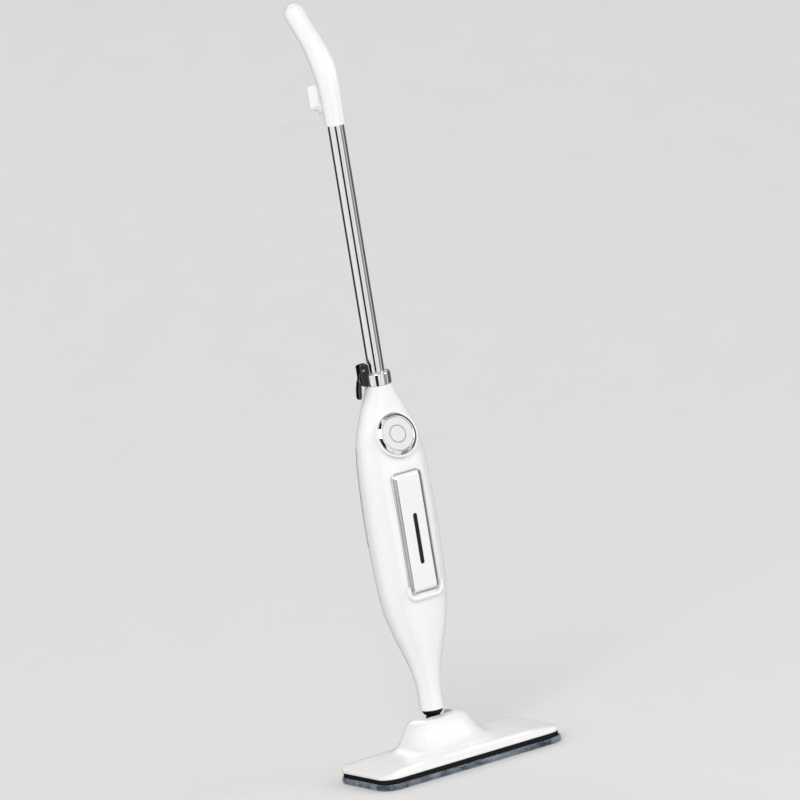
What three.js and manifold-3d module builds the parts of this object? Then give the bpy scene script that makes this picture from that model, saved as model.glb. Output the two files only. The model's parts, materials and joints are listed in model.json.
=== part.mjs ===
// Upright steam mop: a flat head with a cloth pad, a two-axis neck joint, a spindle-shaped
// body that holds the water tank, pump and boiler, and a telescopic tube with a bent grip.
// Millimetres, +Z up, front towards -Y. The origin is the centre of the pad's underside.
import * as THREE from 'three';
import { mergeVertices } from 'three/addons/utils/BufferGeometryUtils.js';
import Module from 'manifold-3d';

const wasm = await Module();
wasm.setup();

// ---- clearances and walls ----
const GAP = 0.3; // between pieces that touch
const RUN = 0.3; // radial clearance of a turning or sliding fit
const SHELL_WALL = 2.4;
const FAR = 400; // reach of a cutting block past what it cuts

// ---- head ----
const HEAD_LENGTH = 316;
const HEAD_DEPTH = 146;
const HEAD_CORNER = 26;
const PAD_THICKNESS = 9;
const PAD_OVERHANG = 3;
const BASE_HEIGHT = 7;
const BASE_FLOOR = 3;
const BASE_RIM = 4;
const SHELL_OVERHANG = 2;
const SKIRT_HEIGHT = 5;
const WING_HEIGHT = 10.5;
const WING_ROUND = 15; // how far in from the edge the wing's rounding ends
const HUMP_HEIGHT = 43; // above the wing
const HUMP_Y = 30; // the hump's middle, and its half sizes where it is half as high
const HUMP_HALF = 57;
const HUMP_FRONT = 54;
const HUMP_REAR = 28;
const HUMP_SQUARENESS = 2.4;
const HUMP_STEEPNESS = 9;
const HEAD_SIDES = 44;
const HEAD_RINGS = [1, 0.97, 0.9, 0.76, 0.62, 0.5, 0.4, 0.3, 0.2, 0.1]; // scaled outlines
const STRIP_END = 28; // from the strip's end to the head's
const STRIP_LENGTH = HEAD_LENGTH - 2 * STRIP_END;
const STRIP_WIDTH = 24;
const STRIP_THICKNESS = 1.2;
const STRIP_Y = 44;
const STEAM_HOLE_R = 1.6;
const STEAM_HOLE_PITCH = 36;
const STEAM_HOLE_COUNT = 6;
const STEAM_HOLE_SIDES = 8;
const HEAD_SCREW_END = 46; // from the screw to the head's end
const HEAD_SCREW_X = HEAD_LENGTH / 2 - HEAD_SCREW_END;
const HEAD_SCREW_Y = 22;
const HEAD_SCREW_LENGTH = 11;

// ---- neck joint ----
const NECK_Y = 33; // the body's axis, behind the head's centre
const NECK_Z = 79; // where the body starts
const TILT_Z = 42;
const SWIVEL_Z = 60.8;
const PIN_R = 3;
const BARREL_R = 9.5;
const BARREL_HALF = 19.5;
const CLEVIS_R = 8.5;
const CLEVIS_THICKNESS = 4;
const TONGUE_HALF = 6.7;
const NOTCH_UPPER_HALF = 28;
const NOTCH_REAR_HALF = 38;
const NOTCH_FLARE_Y = 43;
const NOTCH_STEP_Z = 56;
const PIN_SEAT = 9; // how far the tilt pin reaches into each cheek
const COLLAR_HEIGHT = 8;
const COLLAR_TOP_R = 17.3;
const COLLAR_FOOT_R = 13;
const SPIGOT_R = 15.2;
const SPIGOT_HEIGHT = 25;
const STEAM_BORE_R = 5.2;

// ---- telescopic tube and the sleeve that guides it ----
const TUBE_R = 12.5;
const TUBE_WALL = 1.2;
const TUBE_VISIBLE_TOP = 905;
const TUBE_IN_GRIP = 42;
const TUBE_STROKE = 220;
const SLEEVE_R = TUBE_R + RUN;
const SLEEVE_WALL = 2.7;
const SLEEVE_OUTER_R = SLEEVE_R + SLEEVE_WALL;
const THROAT_WALL = 4.8; // from the sleeve's outside to the body's outside at the top
const THROAT_R = SLEEVE_OUTER_R + THROAT_WALL;

// ---- body: height above the neck, half width, front depth and back depth ----
const BODY_STATIONS = [
  [0, 18.9, 18.9, 18.9],
  [30, 18.2, 18.1, 18.1],
  [62, 22.6, 21.8, 22],
  [92, 31.6, 27.5, 28],
  [123, 41.8, 32.4, 33],
  [165, 51.6, 36, 37],
  [225, 56, 37.6, 39],
  [300, 57.2, 37.8, 39.5],
  [365, 55.6, 35.6, 38],
  [400, 53, 32.2, 36.5],
  [430, 48.8, 26.4, 33.5],
  [461, 37.6, THROAT_R + 1.1, 28.5],
  [491, THROAT_R + 4.5, THROAT_R + 0.1, THROAT_R + 2.3],
  [504, THROAT_R, THROAT_R, THROAT_R],
];
const BODY_TOP = BODY_STATIONS[BODY_STATIONS.length - 1][0];
const BODY_SQUARENESS = 0.35;
const BODY_SIDES = 24;
const BODY_STEPS = 15;
const CORE_STEPS = 9;
const SPLIT_Y = 16; // plane between the front and the rear shell
const REAR_SHELL_FOOT = 104;
const REAR_SHELL_TOP = 470;
const SHELF_THICKNESS = 3;
const TRIM_FOOT = 262;
const TRIM_TOP = 414;
const TRIM_WIDTH = 4;
const TRIM_PROUD = 0.6;
const TRIM_DEPTH = 1.2;
const SHELL_SCREW_X = 36;
const SHELL_SCREW_HEIGHTS = [206, 398];
const SHELL_BOSS_R = 5;
const SHELL_BOSS_LENGTH = 14;
const SCREW_R = 1.7;
const SCREW_HEAD_R = 3.4;
const SCREW_HEAD_HEIGHT = 2.2;

// ---- water tank ----
const TANK_HALF = 23.8;
const TANK_FOOT = 187;
const TANK_TOP = 370;
const TANK_FACE_Y = -41;
const TANK_BEVEL = 4.6;
const TANK_BEVEL_DEPTH = 4;
const TANK_BACK_Y = -15.6;
const TANK_CORNER = 7;
const TANK_WALL = 2.2;
const BAY_WALL = 1.6;
const BEAD_WIDTH = 1.8;
const BEAD_FACE_Y = -38.2;
const BEAD_BACK_Y = -31;
const LIP_DROP = 13;
const LIP_HALF = TANK_HALF + 3.7;
const LIP_FACE_Y = TANK_FACE_Y - 2;
const WINDOW_WIDTH = 5.5;
const WINDOW_X = 1.5;
const WINDOW_FOOT = 227;
const WINDOW_TOP = 309;
const PLUG_R = 7.6;
const PLUG_REACH = 6; // below the tank's top
const VALVE_Z = 197;
const VALVE_R = 3.4;

// ---- power button ----
const DIAL_Y = -33;
const DIAL_Z = 430;
const DIAL_TILT = THREE.MathUtils.degToRad(20);
const BEZEL_R = 32.5;
const BEZEL_WIDTH = 6.4;
const BEZEL_DEPTH = 5.8;
const WELL_RIM = 3.2; // how far the well's rim stays behind the button's face
const WELL_WALL = 2;
const BUTTON_R = BEZEL_R - BEZEL_WIDTH - RUN;
const BUTTON_THICKNESS = 4;
const BUTTON_TRAVEL = 1.5;
const WELL_FLOOR = 2;
const SWITCH_SIZE = 12;
const SWITCH_HEIGHT = 5;
const SWITCH_BOARD_HALF = 11;
const SWITCH_BOARD_REACH = 8;
const SWITCH_PILLAR_R = 1.8;

// ---- pump, boiler, board ----
const BOILER_R = 21.5;
const BOILER_FOOT = 108;
const BOILER_TOP = 172;
const BOILER_SHELF = BOILER_FOOT - GAP - SHELF_THICKNESS;
const PUMP_R = 9.5;
const PUMP_Y = 25.6;
const PUMP_FOOT = 192;
const PUMP_LENGTH = 66;
const PUMP_SHELF = PUMP_FOOT - GAP - SHELF_THICKNESS;
const HOSE_R = 3;
const HOSE_BORE_R = 1.8;
const BOARD_HALF = 20;
const BOARD_FOOT = 384;
const BOARD_TOP = 440;
const BOARD_Y = 17;
const BOARD_THICKNESS = 1.6;
const GLAND_Z = 335;
const GLAND_R = 6;
const GLAND_BORE_R = 3.6;
const GLAND_FLANGE_R = 8.5;
const GLAND_FLANGE = 3;

// ---- tube foot, clamp and lever ----
const TUBE_FOOT = BODY_TOP - 42;
const BUSH_FLANGE_R = TUBE_R + 2.5;
const BUSH_FLANGE = 8;
const BUSH_SPIGOT = 18;
const BUSH_PATH = 1; // radial room around the bush's flange
const SLEEVE_FOOT = BODY_TOP - 32;
const SLEEVE_FLANGE_R = THROAT_R - SHELL_WALL - GAP;
const SLEEVE_FLANGE = 4;
const SLEEVE_FLANGE_DROPS = [4.5, 14]; // from the body's top down to each flange's foot
const CLAMP_FOOT = BODY_TOP + GAP;
const CLAMP_HEIGHT = 18;
const CLAMP_R = THROAT_R;
const CLAMP_BORE_R = SLEEVE_OUTER_R + GAP;
const LUG_FOOT = CLAMP_FOOT + 2.7;
const LUG_HEIGHT = 33;
const LUG_TOP = LUG_FOOT + LUG_HEIGHT;
const LUG_HALF = 6.5;
const HUB_HALF = 3.4;
const LEVER_X = -TUBE_R - 13;
const LEVER_Z = LUG_TOP - 9;
const LUG_OUTER_X = LEVER_X - 5.5;
const LEVER_HUB_R = 5.4;
const LEVER_TIP_X = LEVER_X - 11.5;
const LEVER_TIP_Z = LEVER_Z - 41;
const LEVER_ARM_HALF = 5;
const LEVER_ARM_THICKNESS = 5;
const LEVER_PIN_R = 2;

// ---- grip: centre line in the plane x = 0, as back offset and height above its foot ----
const GRIP_PATH = [
  [0, 0],
  [0, 50],
  [5, 83],
  [17, 107],
  [34, 129],
  [52, 148],
  [67, 165],
];
const GRIP_FOOT_R = TUBE_R + 3.1;
const GRIP_MID_R = 17.6;
const GRIP_END_R = 15.6;
const GRIP_WALL = 2.6;
const GRIP_SIDES = 16;
const GRIP_STEPS = 11;
const GRIP_DOME_STEPS = 3;
const GRIP_SCREWS = [0.36, 0.6, 0.86]; // places along the centre line
const GRIP_BOSS_R = 4.2;
const HOOK_Z = TUBE_VISIBLE_TOP + 22;
const HOOK_ARM_R = 5;
const HOOK_COLLAR_R = 6.8;
const HOOK_BOSS_R = 9.2;
const HOOK_BOSS_END = GRIP_FOOT_R + 14.4;
const HOOK_SHANK_START = TUBE_R + 3;
const HOOK_COLLAR_Y = HOOK_SHANK_START + 4.5;
const HOOK_COLLAR_WIDTH = 5;
const HOOK_TONGUE_Y = HOOK_BOSS_END + 20.5;
const HOOK_TONGUE_THICKNESS = 5;
const HOOK_TONGUE_HALF = 8;
const HOOK_TONGUE_TOP = HOOK_Z + 33;
const GUSSET_Y = HOOK_BOSS_END + 8;
const GUSSET_HALF = 6;
const LOWER_HOOK_Z = 150;
const LOWER_HOOK_REACH = 64;
const LOWER_HOOK_DROP = 32;

// ---- levels and places that follow from the sizes above ----
const BASE_Z = PAD_THICKNESS + GAP;
const SHELL_Z = BASE_Z + BASE_HEIGHT + GAP;
const CLEVIS_HALF = TONGUE_HALF + GAP + CLEVIS_THICKNESS;
const BARREL_FLOOR_Z = TILT_Z - Math.max(BARREL_R, CLEVIS_HALF) - 1;
const BARREL_NOTCH_HALF = BARREL_HALF + GAP;
const NOTCH_FRONT_Y = NECK_Y - 15;
const WELL_DEPTH = BEZEL_DEPTH + GAP;
const SWITCH_TOP = BUTTON_THICKNESS + BUTTON_TRAVEL + GAP;
const SWITCH_FOOT = SWITCH_TOP + SWITCH_HEIGHT;

// ---- materials ----
const finish = (color, roughness, metalness) =>
  new THREE.MeshStandardMaterial({ color, roughness, metalness });
const WHITE = finish(0xf4f4f2, 0.35, 0);
const OFF_WHITE = finish(0xe9e9e6, 0.45, 0);
const BLACK = finish(0x1a1b1d, 0.5, 0);
const CHROME = finish(0xcfd2d4, 0.08, 1);
const DARK_CHROME = finish(0x2c2d30, 0.2, 1);
const STEEL = finish(0xa9adb0, 0.35, 1);
const GREY = finish(0x8b8f93, 0.5, 0);
const RUBBER = finish(0x2b2c2e, 0.85, 0);
const SILICONE = finish(0xd8d4c8, 0.6, 0);
const CLOTH = finish(0x8fa3b5, 0.95, 0);
const BOARD = finish(0x1f6b45, 0.6, 0);
const SMOKED = finish(0x0c0d0f, 0.12, 0);

// ---- solid modelling helpers ----
const { Manifold, Mesh: SolidMesh } = wasm;

function signedVolume(positions, triangles) {
  const [a, b, c] = [new THREE.Vector3(), new THREE.Vector3(), new THREE.Vector3()];
  let sum = 0;
  for (let i = 0; i < triangles.length; i += 3) {
    a.fromArray(positions, 3 * triangles[i]);
    b.fromArray(positions, 3 * triangles[i + 1]);
    c.fromArray(positions, 3 * triangles[i + 2]);
    sum += a.dot(b.cross(c));
  }
  return sum;
}

function solidOf(geometry) {
  const bare = geometry.clone();
  bare.deleteAttribute('normal');
  bare.deleteAttribute('uv');
  const merged = mergeVertices(bare, 1e-4);
  const positions = Float32Array.from(merged.attributes.position.array);
  const triangles = [];
  const index = merged.index.array;
  for (let i = 0; i < index.length; i += 3) {
    const [a, b, c] = [index[i], index[i + 1], index[i + 2]];
    if (a !== b && b !== c && c !== a) triangles.push(a, b, c);
  }
  if (signedVolume(positions, triangles) < 0) triangles.reverse();
  return new Manifold(
    new SolidMesh({ numProp: 3, vertProperties: positions, triVerts: Uint32Array.from(triangles) }),
  );
}

function geometryOf(solid) {
  const mesh = solid.getMesh();
  const geometry = new THREE.BufferGeometry();
  geometry.setAttribute('position', new THREE.BufferAttribute(mesh.vertProperties, 3));
  geometry.setIndex(new THREE.BufferAttribute(mesh.triVerts, 1));
  geometry.computeVertexNormals();
  return geometry;
}

function box(x0, x1, y0, y1, z0, z1) {
  const geometry = new THREE.BoxGeometry(x1 - x0, y1 - y0, z1 - z0);
  geometry.translate((x0 + x1) / 2, (y0 + y1) / 2, (z0 + z1) / 2);
  return solidOf(geometry);
}

// A round bar between two points.
function rod(start, end, radius, sides = 16) {
  const from = new THREE.Vector3(...start);
  const axis = new THREE.Vector3(...end).sub(from);
  const geometry = new THREE.CylinderGeometry(radius, radius, axis.length(), sides);
  geometry.translate(0, axis.length() / 2, 0);
  const up = new THREE.Vector3(0, 1, 0);
  geometry.applyQuaternion(new THREE.Quaternion().setFromUnitVectors(up, axis.normalize()));
  geometry.translate(from.x, from.y, from.z);
  return solidOf(geometry);
}

// A solid of revolution about Z from [radius, height] points that start and end on the axis.
function turned(profile, sides = 20) {
  const points = profile.map(([radius, height]) => new THREE.Vector2(radius, height));
  const geometry = new THREE.LatheGeometry(points, sides);
  geometry.rotateX(Math.PI / 2);
  return solidOf(geometry);
}

function ring(outerRadius, innerRadius, z0, z1, sides = 28) {
  const geometry = new THREE.LatheGeometry(
    [
      new THREE.Vector2(innerRadius, z0),
      new THREE.Vector2(outerRadius, z0),
      new THREE.Vector2(outerRadius, z1),
      new THREE.Vector2(innerRadius, z1),
      new THREE.Vector2(innerRadius, z0),
    ],
    sides,
  );
  geometry.rotateX(Math.PI / 2);
  return solidOf(geometry);
}

// A rounded rectangle, low corner to high corner.
function roundedRectangle(x0, x1, y0, y1, radius) {
  const shape = new THREE.Shape();
  shape.absarc(x1 - radius, y0 + radius, radius, -Math.PI / 2, 0);
  shape.absarc(x1 - radius, y1 - radius, radius, 0, Math.PI / 2);
  shape.absarc(x0 + radius, y1 - radius, radius, Math.PI / 2, Math.PI);
  shape.absarc(x0 + radius, y0 + radius, radius, Math.PI, 1.5 * Math.PI);
  shape.closePath();
  return shape;
}

function extrudeUp(shape, z0, z1, curveSegments = 6) {
  const options = { depth: z1 - z0, bevelEnabled: false, curveSegments };
  const geometry = new THREE.ExtrudeGeometry(shape, options);
  geometry.translate(0, 0, z0);
  return solidOf(geometry);
}

// The shape's x and y become X and Z, and it runs along Y.
function extrudeAlongY(shape, y0, y1, curveSegments = 4) {
  const options = { depth: y1 - y0, bevelEnabled: false, curveSegments };
  const geometry = new THREE.ExtrudeGeometry(shape, options);
  geometry.rotateX(Math.PI / 2);
  geometry.translate(0, y1, 0);
  return solidOf(geometry);
}

// A closed skin through rings of points, each end closed by a flat fan.
function loft(rings) {
  const count = rings[0].length;
  const positions = rings.flat().flatMap((point) => point.toArray());
  const triangles = [];
  for (let level = 0; level + 1 < rings.length; level++) {
    for (let i = 0; i < count; i++) {
      const a = level * count + i;
      const b = level * count + ((i + 1) % count);
      triangles.push(a, b, b + count, a, b + count, a + count);
    }
  }
  for (const level of [0, rings.length - 1]) {
    const centre = new THREE.Vector3();
    rings[level].forEach((point) => centre.addScaledVector(point, 1 / count));
    positions.push(...centre.toArray());
    const hub = positions.length / 3 - 1;
    for (let i = 0; i < count; i++) {
      const a = level * count + i;
      const b = level * count + ((i + 1) % count);
      if (level === 0) triangles.push(hub, b, a);
      else triangles.push(hub, a, b);
    }
  }
  const geometry = new THREE.BufferGeometry();
  geometry.setAttribute('position', new THREE.Float32BufferAttribute(positions, 3));
  geometry.setIndex(triangles);
  return solidOf(geometry);
}

// A tube along a smooth path, with an optional bore.
function hose(points, radius, boreRadius, steps = 8) {
  const path = new THREE.CatmullRomCurve3(points.map((point) => new THREE.Vector3(...point)));
  const shape = new THREE.Shape();
  shape.absarc(0, 0, radius, 0, 2 * Math.PI);
  const bore = new THREE.Path();
  bore.absarc(0, 0, boreRadius, 0, 2 * Math.PI, true);
  shape.holes.push(bore);
  return solidOf(new THREE.ExtrudeGeometry(shape, { steps, extrudePath: path, curveSegments: 4 }));
}

const union = (...solids) => solids.reduce((whole, solid) => whole.add(solid));
const cut = (solid, ...tools) => tools.reduce((rest, tool) => rest.subtract(tool), solid);

function addPart(group, name, solid, material) {
  const mesh = new THREE.Mesh(geometryOf(solid), material);
  mesh.name = name;
  group.add(mesh);
}

// A pan-head screw: its head's underside is at the start point and its shank runs to the end.
function screw(start, end) {
  const from = new THREE.Vector3(...start);
  const outward = from.clone().sub(new THREE.Vector3(...end)).normalize();
  const headTop = from.clone().addScaledVector(outward, SCREW_HEAD_HEIGHT);
  return union(rod(start, end, SCREW_R, 8), rod(start, headTop.toArray(), SCREW_HEAD_R, 12));
}

// The hole that a screw sits in: shank and head with clearance, the head's part running on out.
function screwHole(start, end) {
  const from = new THREE.Vector3(...start);
  const outward = from.clone().sub(new THREE.Vector3(...end)).normalize();
  const seat = from.clone().addScaledVector(outward, -GAP);
  const out = from.clone().addScaledVector(outward, FAR / 10);
  const tip = new THREE.Vector3(...end).addScaledVector(outward, -GAP);
  return union(
    rod(start, tip.toArray(), SCREW_R + GAP, 8),
    rod(seat.toArray(), out.toArray(), SCREW_HEAD_R + GAP, 12),
  );
}

// ---- head ----
// Points of the head's rounded outline, scaled towards its centre.
function headOutline(inset, scale, sides) {
  const halfX = HEAD_LENGTH / 2 + SHELL_OVERHANG - inset;
  const halfY = HEAD_DEPTH / 2 + SHELL_OVERHANG / 2 - inset;
  const shape = roundedRectangle(-halfX, halfX, -halfY, halfY, HEAD_CORNER - inset);
  return shape.getSpacedPoints(sides).slice(0, sides).map((point) => point.multiplyScalar(scale));
}

function headTop(x, y) {
  const edgeX = HEAD_LENGTH / 2 + SHELL_OVERHANG - Math.abs(x);
  const edgeY = HEAD_DEPTH / 2 + SHELL_OVERHANG / 2 - Math.abs(y);
  const inward = THREE.MathUtils.clamp(Math.min(edgeX, edgeY) / WING_ROUND, 0, 1);
  const wing = SKIRT_HEIGHT + (WING_HEIGHT - SKIRT_HEIGHT) * Math.sqrt(1 - (1 - inward) ** 2);
  const across = Math.abs(x / HUMP_HALF) ** HUMP_SQUARENESS;
  const along = Math.abs((y - HUMP_Y) / (y < HUMP_Y ? HUMP_FRONT : HUMP_REAR)) ** HUMP_SQUARENESS;
  const reach = (across + along) ** (1 / HUMP_SQUARENESS);
  return SHELL_Z + wing + HUMP_HEIGHT / (1 + reach ** HUMP_STEEPNESS);
}

// The mound's height with a wall taken off it, square to its slopes as well as downwards.
function moundTop(x, y, wall) {
  let lowest = headTop(x, y);
  for (let i = 0; wall && i < 8; i++) {
    const angle = (Math.PI * i) / 4;
    lowest = Math.min(lowest, headTop(x + wall * Math.cos(angle), y + wall * Math.sin(angle)));
  }
  return lowest - wall;
}

function headMound(wall, floorZ) {
  const level = (scale, height) =>
    headOutline(wall, scale, HEAD_SIDES).map(
      (point) => new THREE.Vector3(point.x, point.y, height(point.x, point.y)),
    );
  const rings = [level(1, () => floorZ)];
  for (const scale of HEAD_RINGS) rings.push(level(scale, (x, y) => moundTop(x, y, wall)));
  return loft(rings);
}

// The recess for the neck joint, open upwards and to the rear, where it widens for the swivel.
function neckNotch(grow) {
  const front = NOTCH_FRONT_Y - grow;
  const narrow = BARREL_NOTCH_HALF + grow;
  const wide = NOTCH_REAR_HALF + grow;
  const rear = HEAD_DEPTH;
  const spread = wide + ((wide - narrow) * (rear - HEAD_DEPTH / 2)) / (HEAD_DEPTH / 2 - NOTCH_FLARE_Y);
  const plan = new THREE.Shape();
  plan.moveTo(-narrow, front);
  plan.lineTo(narrow, front);
  plan.lineTo(narrow, NOTCH_FLARE_Y);
  plan.lineTo(spread, rear);
  plan.lineTo(-spread, rear);
  plan.lineTo(-narrow, NOTCH_FLARE_Y);
  const upper = box(
    -NOTCH_UPPER_HALF - grow, NOTCH_UPPER_HALF + grow, front, FAR, NOTCH_STEP_Z - grow, FAR,
  );
  return extrudeUp(plan, BARREL_FLOOR_Z - grow, FAR).add(upper);
}

function headShell() {
  const outer = headMound(0, SHELL_Z);
  const inner = headMound(SHELL_WALL, SHELL_Z - 1);
  const pinEnd = BARREL_NOTCH_HALF + PIN_SEAT;
  const pinBoss = rod([-pinEnd - 3, NECK_Y, TILT_Z], [pinEnd + 3, NECK_Y, TILT_Z], 8);
  let added = neckNotch(SHELL_WALL).add(pinBoss);
  for (const [x, y] of headScrewPlaces()) {
    added = added.add(rod([x, y, SHELL_Z], [x, y, FAR], 4.5, 16));
  }
  const pinHole = rod(
    [-pinEnd - GAP, NECK_Y, TILT_Z], [pinEnd + GAP, NECK_Y, TILT_Z], PIN_R + GAP,
  );
  let shell = cut(outer, inner).add(added.intersect(outer));
  shell = cut(shell, neckNotch(0), pinHole);
  for (const place of headScrewPlaces()) shell = shell.subtract(screwHole(...headScrewLine(place)));
  return shell;
}

function headScrewPlaces() {
  const places = [];
  for (const x of [-HEAD_SCREW_X, HEAD_SCREW_X]) {
    for (const y of [-HEAD_SCREW_Y, HEAD_SCREW_Y]) places.push([x, y]);
  }
  return places;
}

function headScrewLine([x, y]) {
  const seatZ = BASE_Z + SCREW_HEAD_HEIGHT + GAP;
  return [[x, y, seatZ], [x, y, seatZ + HEAD_SCREW_LENGTH]];
}

function steamHoles(z0, z1) {
  let holes = null;
  for (let i = 0; i < STEAM_HOLE_COUNT; i++) {
    const x = (i - (STEAM_HOLE_COUNT - 1) / 2) * STEAM_HOLE_PITCH;
    const hole = rod([x, 0, z0], [x, 0, z1], STEAM_HOLE_R, STEAM_HOLE_SIDES);
    holes = holes ? holes.add(hole) : hole;
  }
  return holes;
}

function stripShape(y, grow) {
  const halfX = STRIP_LENGTH / 2 + grow;
  const halfY = STRIP_WIDTH / 2 + grow;
  return roundedRectangle(-halfX, halfX, y - halfY, y + halfY, 4);
}

function basePlate() {
  const halfX = HEAD_LENGTH / 2;
  const halfY = HEAD_DEPTH / 2;
  const top = BASE_Z + BASE_HEIGHT;
  const outline = roundedRectangle(-halfX, halfX, -halfY, halfY, HEAD_CORNER);
  const pocket = roundedRectangle(
    -halfX + BASE_RIM, halfX - BASE_RIM, -halfY + BASE_RIM, halfY - BASE_RIM,
    HEAD_CORNER - BASE_RIM,
  );
  let plate = extrudeUp(outline, BASE_Z, top);
  plate = plate.subtract(extrudeUp(pocket, BASE_Z + BASE_FLOOR, top + 1));
  for (const [x, y] of headScrewPlaces()) plate = plate.add(rod([x, y, BASE_Z], [x, y, top], 6, 16));
  plate = plate.subtract(steamHoles(BASE_Z - 1, top + 1));
  for (const y of [-STRIP_Y, STRIP_Y]) {
    const recess = extrudeUp(stripShape(y, GAP), BASE_Z - 1, BASE_Z + STRIP_THICKNESS + GAP, 3);
    plate = plate.subtract(recess);
  }
  for (const place of headScrewPlaces()) plate = plate.subtract(screwHole(...headScrewLine(place)));
  return plate;
}

// The closed channel over the steam holes, fed through a spout behind the middle.
function steamDistributor() {
  const floorZ = BASE_Z + BASE_FLOOR + GAP;
  const halfX = (STEAM_HOLE_PITCH * STEAM_HOLE_COUNT) / 2;
  const body = extrudeUp(roundedRectangle(-halfX, halfX, -11, 11, 5), floorZ, floorZ + 9, 3);
  const spout = rod([0, 4, floorZ + 5], [0, 4, floorZ + 20], 5, 16);
  const channel = extrudeUp(
    roundedRectangle(-halfX + 3, halfX - 3, -8, 8, 3), floorZ - 1, floorZ + 6, 3,
  );
  return cut(union(body, spout), channel, rod([0, 4, floorZ], [0, 4, floorZ + 21], 3, 12));
}

function mopPad() {
  const halfX = HEAD_LENGTH / 2 + PAD_OVERHANG;
  const halfY = HEAD_DEPTH / 2 + PAD_OVERHANG;
  const outline = roundedRectangle(-halfX, halfX, -halfY, halfY, HEAD_CORNER + PAD_OVERHANG);
  return extrudeUp(outline, 0, PAD_THICKNESS);
}

function buildHead(group) {
  const pinEnd = BARREL_NOTCH_HALF + PIN_SEAT;
  addPart(group, 'head_top_shell', headShell(), WHITE);
  addPart(group, 'base_plate', basePlate(), BLACK);
  addPart(group, 'steam_distributor', steamDistributor(), GREY);
  addPart(group, 'mop_pad', mopPad(), CLOTH);
  for (const [side, y] of [['front', -STRIP_Y], ['rear', STRIP_Y]]) {
    const strip = extrudeUp(stripShape(y, 0), BASE_Z, BASE_Z + STRIP_THICKNESS, 3);
    addPart(group, `hook_tape_${side}`, strip, BLACK);
  }
  headScrewPlaces().forEach((place, i) => {
    addPart(group, `head_screw_${i + 1}`, screw(...headScrewLine(place)), STEEL);
  });
  const pin = rod([-pinEnd, NECK_Y, TILT_Z], [pinEnd, NECK_Y, TILT_Z], PIN_R);
  addPart(group, 'tilt_pin', pin, STEEL);
}

// ---- neck joint: the knuckle turns on the tilt pin and carries the swivel pin ----
function knuckle() {
  const barrel = rod([-BARREL_HALF, NECK_Y, TILT_Z], [BARREL_HALF, NECK_Y, TILT_Z], BARREL_R, 24);
  const [front, back] = [NECK_Y - CLEVIS_HALF, NECK_Y + CLEVIS_HALF];
  const stalk = box(-CLEVIS_R, CLEVIS_R, front, back, TILT_Z, SWIVEL_Z);
  const eye = rod([0, front, SWIVEL_Z], [0, back, SWIVEL_Z], CLEVIS_R, 20);
  const slotHalf = TONGUE_HALF + GAP;
  const slotFloor = SWIVEL_Z - CLEVIS_R - GAP;
  const slot = box(-FAR, FAR, NECK_Y - slotHalf, NECK_Y + slotHalf, slotFloor, FAR);
  const tiltBore = rod([-FAR, NECK_Y, TILT_Z], [FAR, NECK_Y, TILT_Z], PIN_R + RUN);
  const swivelBore = rod([0, -FAR, SWIVEL_Z], [0, FAR, SWIVEL_Z], PIN_R + GAP);
  return cut(union(barrel, stalk, eye), slot, tiltBore, swivelBore);
}

function buildKnuckle(group) {
  addPart(group, 'neck_knuckle', knuckle(), BLACK);
  const pin = rod([0, NECK_Y - CLEVIS_HALF, SWIVEL_Z], [0, NECK_Y + CLEVIS_HALF, SWIVEL_Z], PIN_R);
  addPart(group, 'swivel_pin', pin, STEEL);
}

// The black ring under the body, with the tongue that turns on the swivel pin.
function neckCollar() {
  const swivel = SWIVEL_Z - NECK_Z;
  const body = turned([
    [0, -COLLAR_HEIGHT],
    [COLLAR_FOOT_R, -COLLAR_HEIGHT],
    [COLLAR_TOP_R, -GAP],
    [SPIGOT_R, -GAP],
    [SPIGOT_R, SPIGOT_HEIGHT],
    [0, SPIGOT_HEIGHT],
  ]);
  const tongue = box(-CLEVIS_R, CLEVIS_R, -TONGUE_HALF, TONGUE_HALF, swivel, -COLLAR_HEIGHT + 1);
  const eye = rod([0, -TONGUE_HALF, swivel], [0, TONGUE_HALF, swivel], CLEVIS_R, 20);
  const pinBore = rod([0, -FAR, swivel], [0, FAR, swivel], PIN_R + RUN);
  const steamBore = rod([0, 0, -COLLAR_HEIGHT + 2], [0, 0, SPIGOT_HEIGHT + 1], STEAM_BORE_R, 20);
  const sidePort = rod([0, 0, -COLLAR_HEIGHT + 4.5], [0, FAR, -COLLAR_HEIGHT + 4.5], 2.2, 12);
  return cut(union(body, tongue, eye), pinBore, steamBore, sidePort);
}

// ---- body shells ----
function bodySpline(column) {
  return new THREE.SplineCurve(
    BODY_STATIONS.map((station) => new THREE.Vector2(station[0], station[column])),
  );
}
const bodyWidth = bodySpline(1);
const bodyFront = bodySpline(2);
const bodyBack = bodySpline(3);

// The body's section at a place t along it, from 0 at the neck to 1 at the top.
function bodyRing(t, inset, sides) {
  const { x: height, y: halfWidth } = bodyWidth.getPoint(t);
  const front = bodyFront.getPoint(t).y - inset;
  const back = bodyBack.getPoint(t).y - inset;
  const power = 2 / (2 + BODY_SQUARENESS * Math.sin(Math.PI * t));
  const points = [];
  for (let i = 0; i < sides; i++) {
    const angle = (2 * Math.PI * i) / sides;
    const [c, s] = [Math.cos(angle), Math.sin(angle)];
    const x = (halfWidth - inset) * Math.sign(c) * Math.abs(c) ** power;
    const y = (s < 0 ? front : back) * Math.sign(s) * Math.abs(s) ** power;
    points.push(new THREE.Vector3(x, y, height));
  }
  return points;
}

function bodyForm(inset, overrun = 0, steps = BODY_STEPS) {
  const rings = [];
  for (let i = 0; i <= steps; i++) rings.push(bodyRing(i / steps, inset, BODY_SIDES));
  if (overrun) {
    const lower = rings[0].map((point) => point.clone().setZ(-overrun));
    const upper = rings[steps].map((point) => point.clone().setZ(BODY_TOP + overrun));
    return loft([lower, ...rings, upper]);
  }
  return loft(rings);
}

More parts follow.
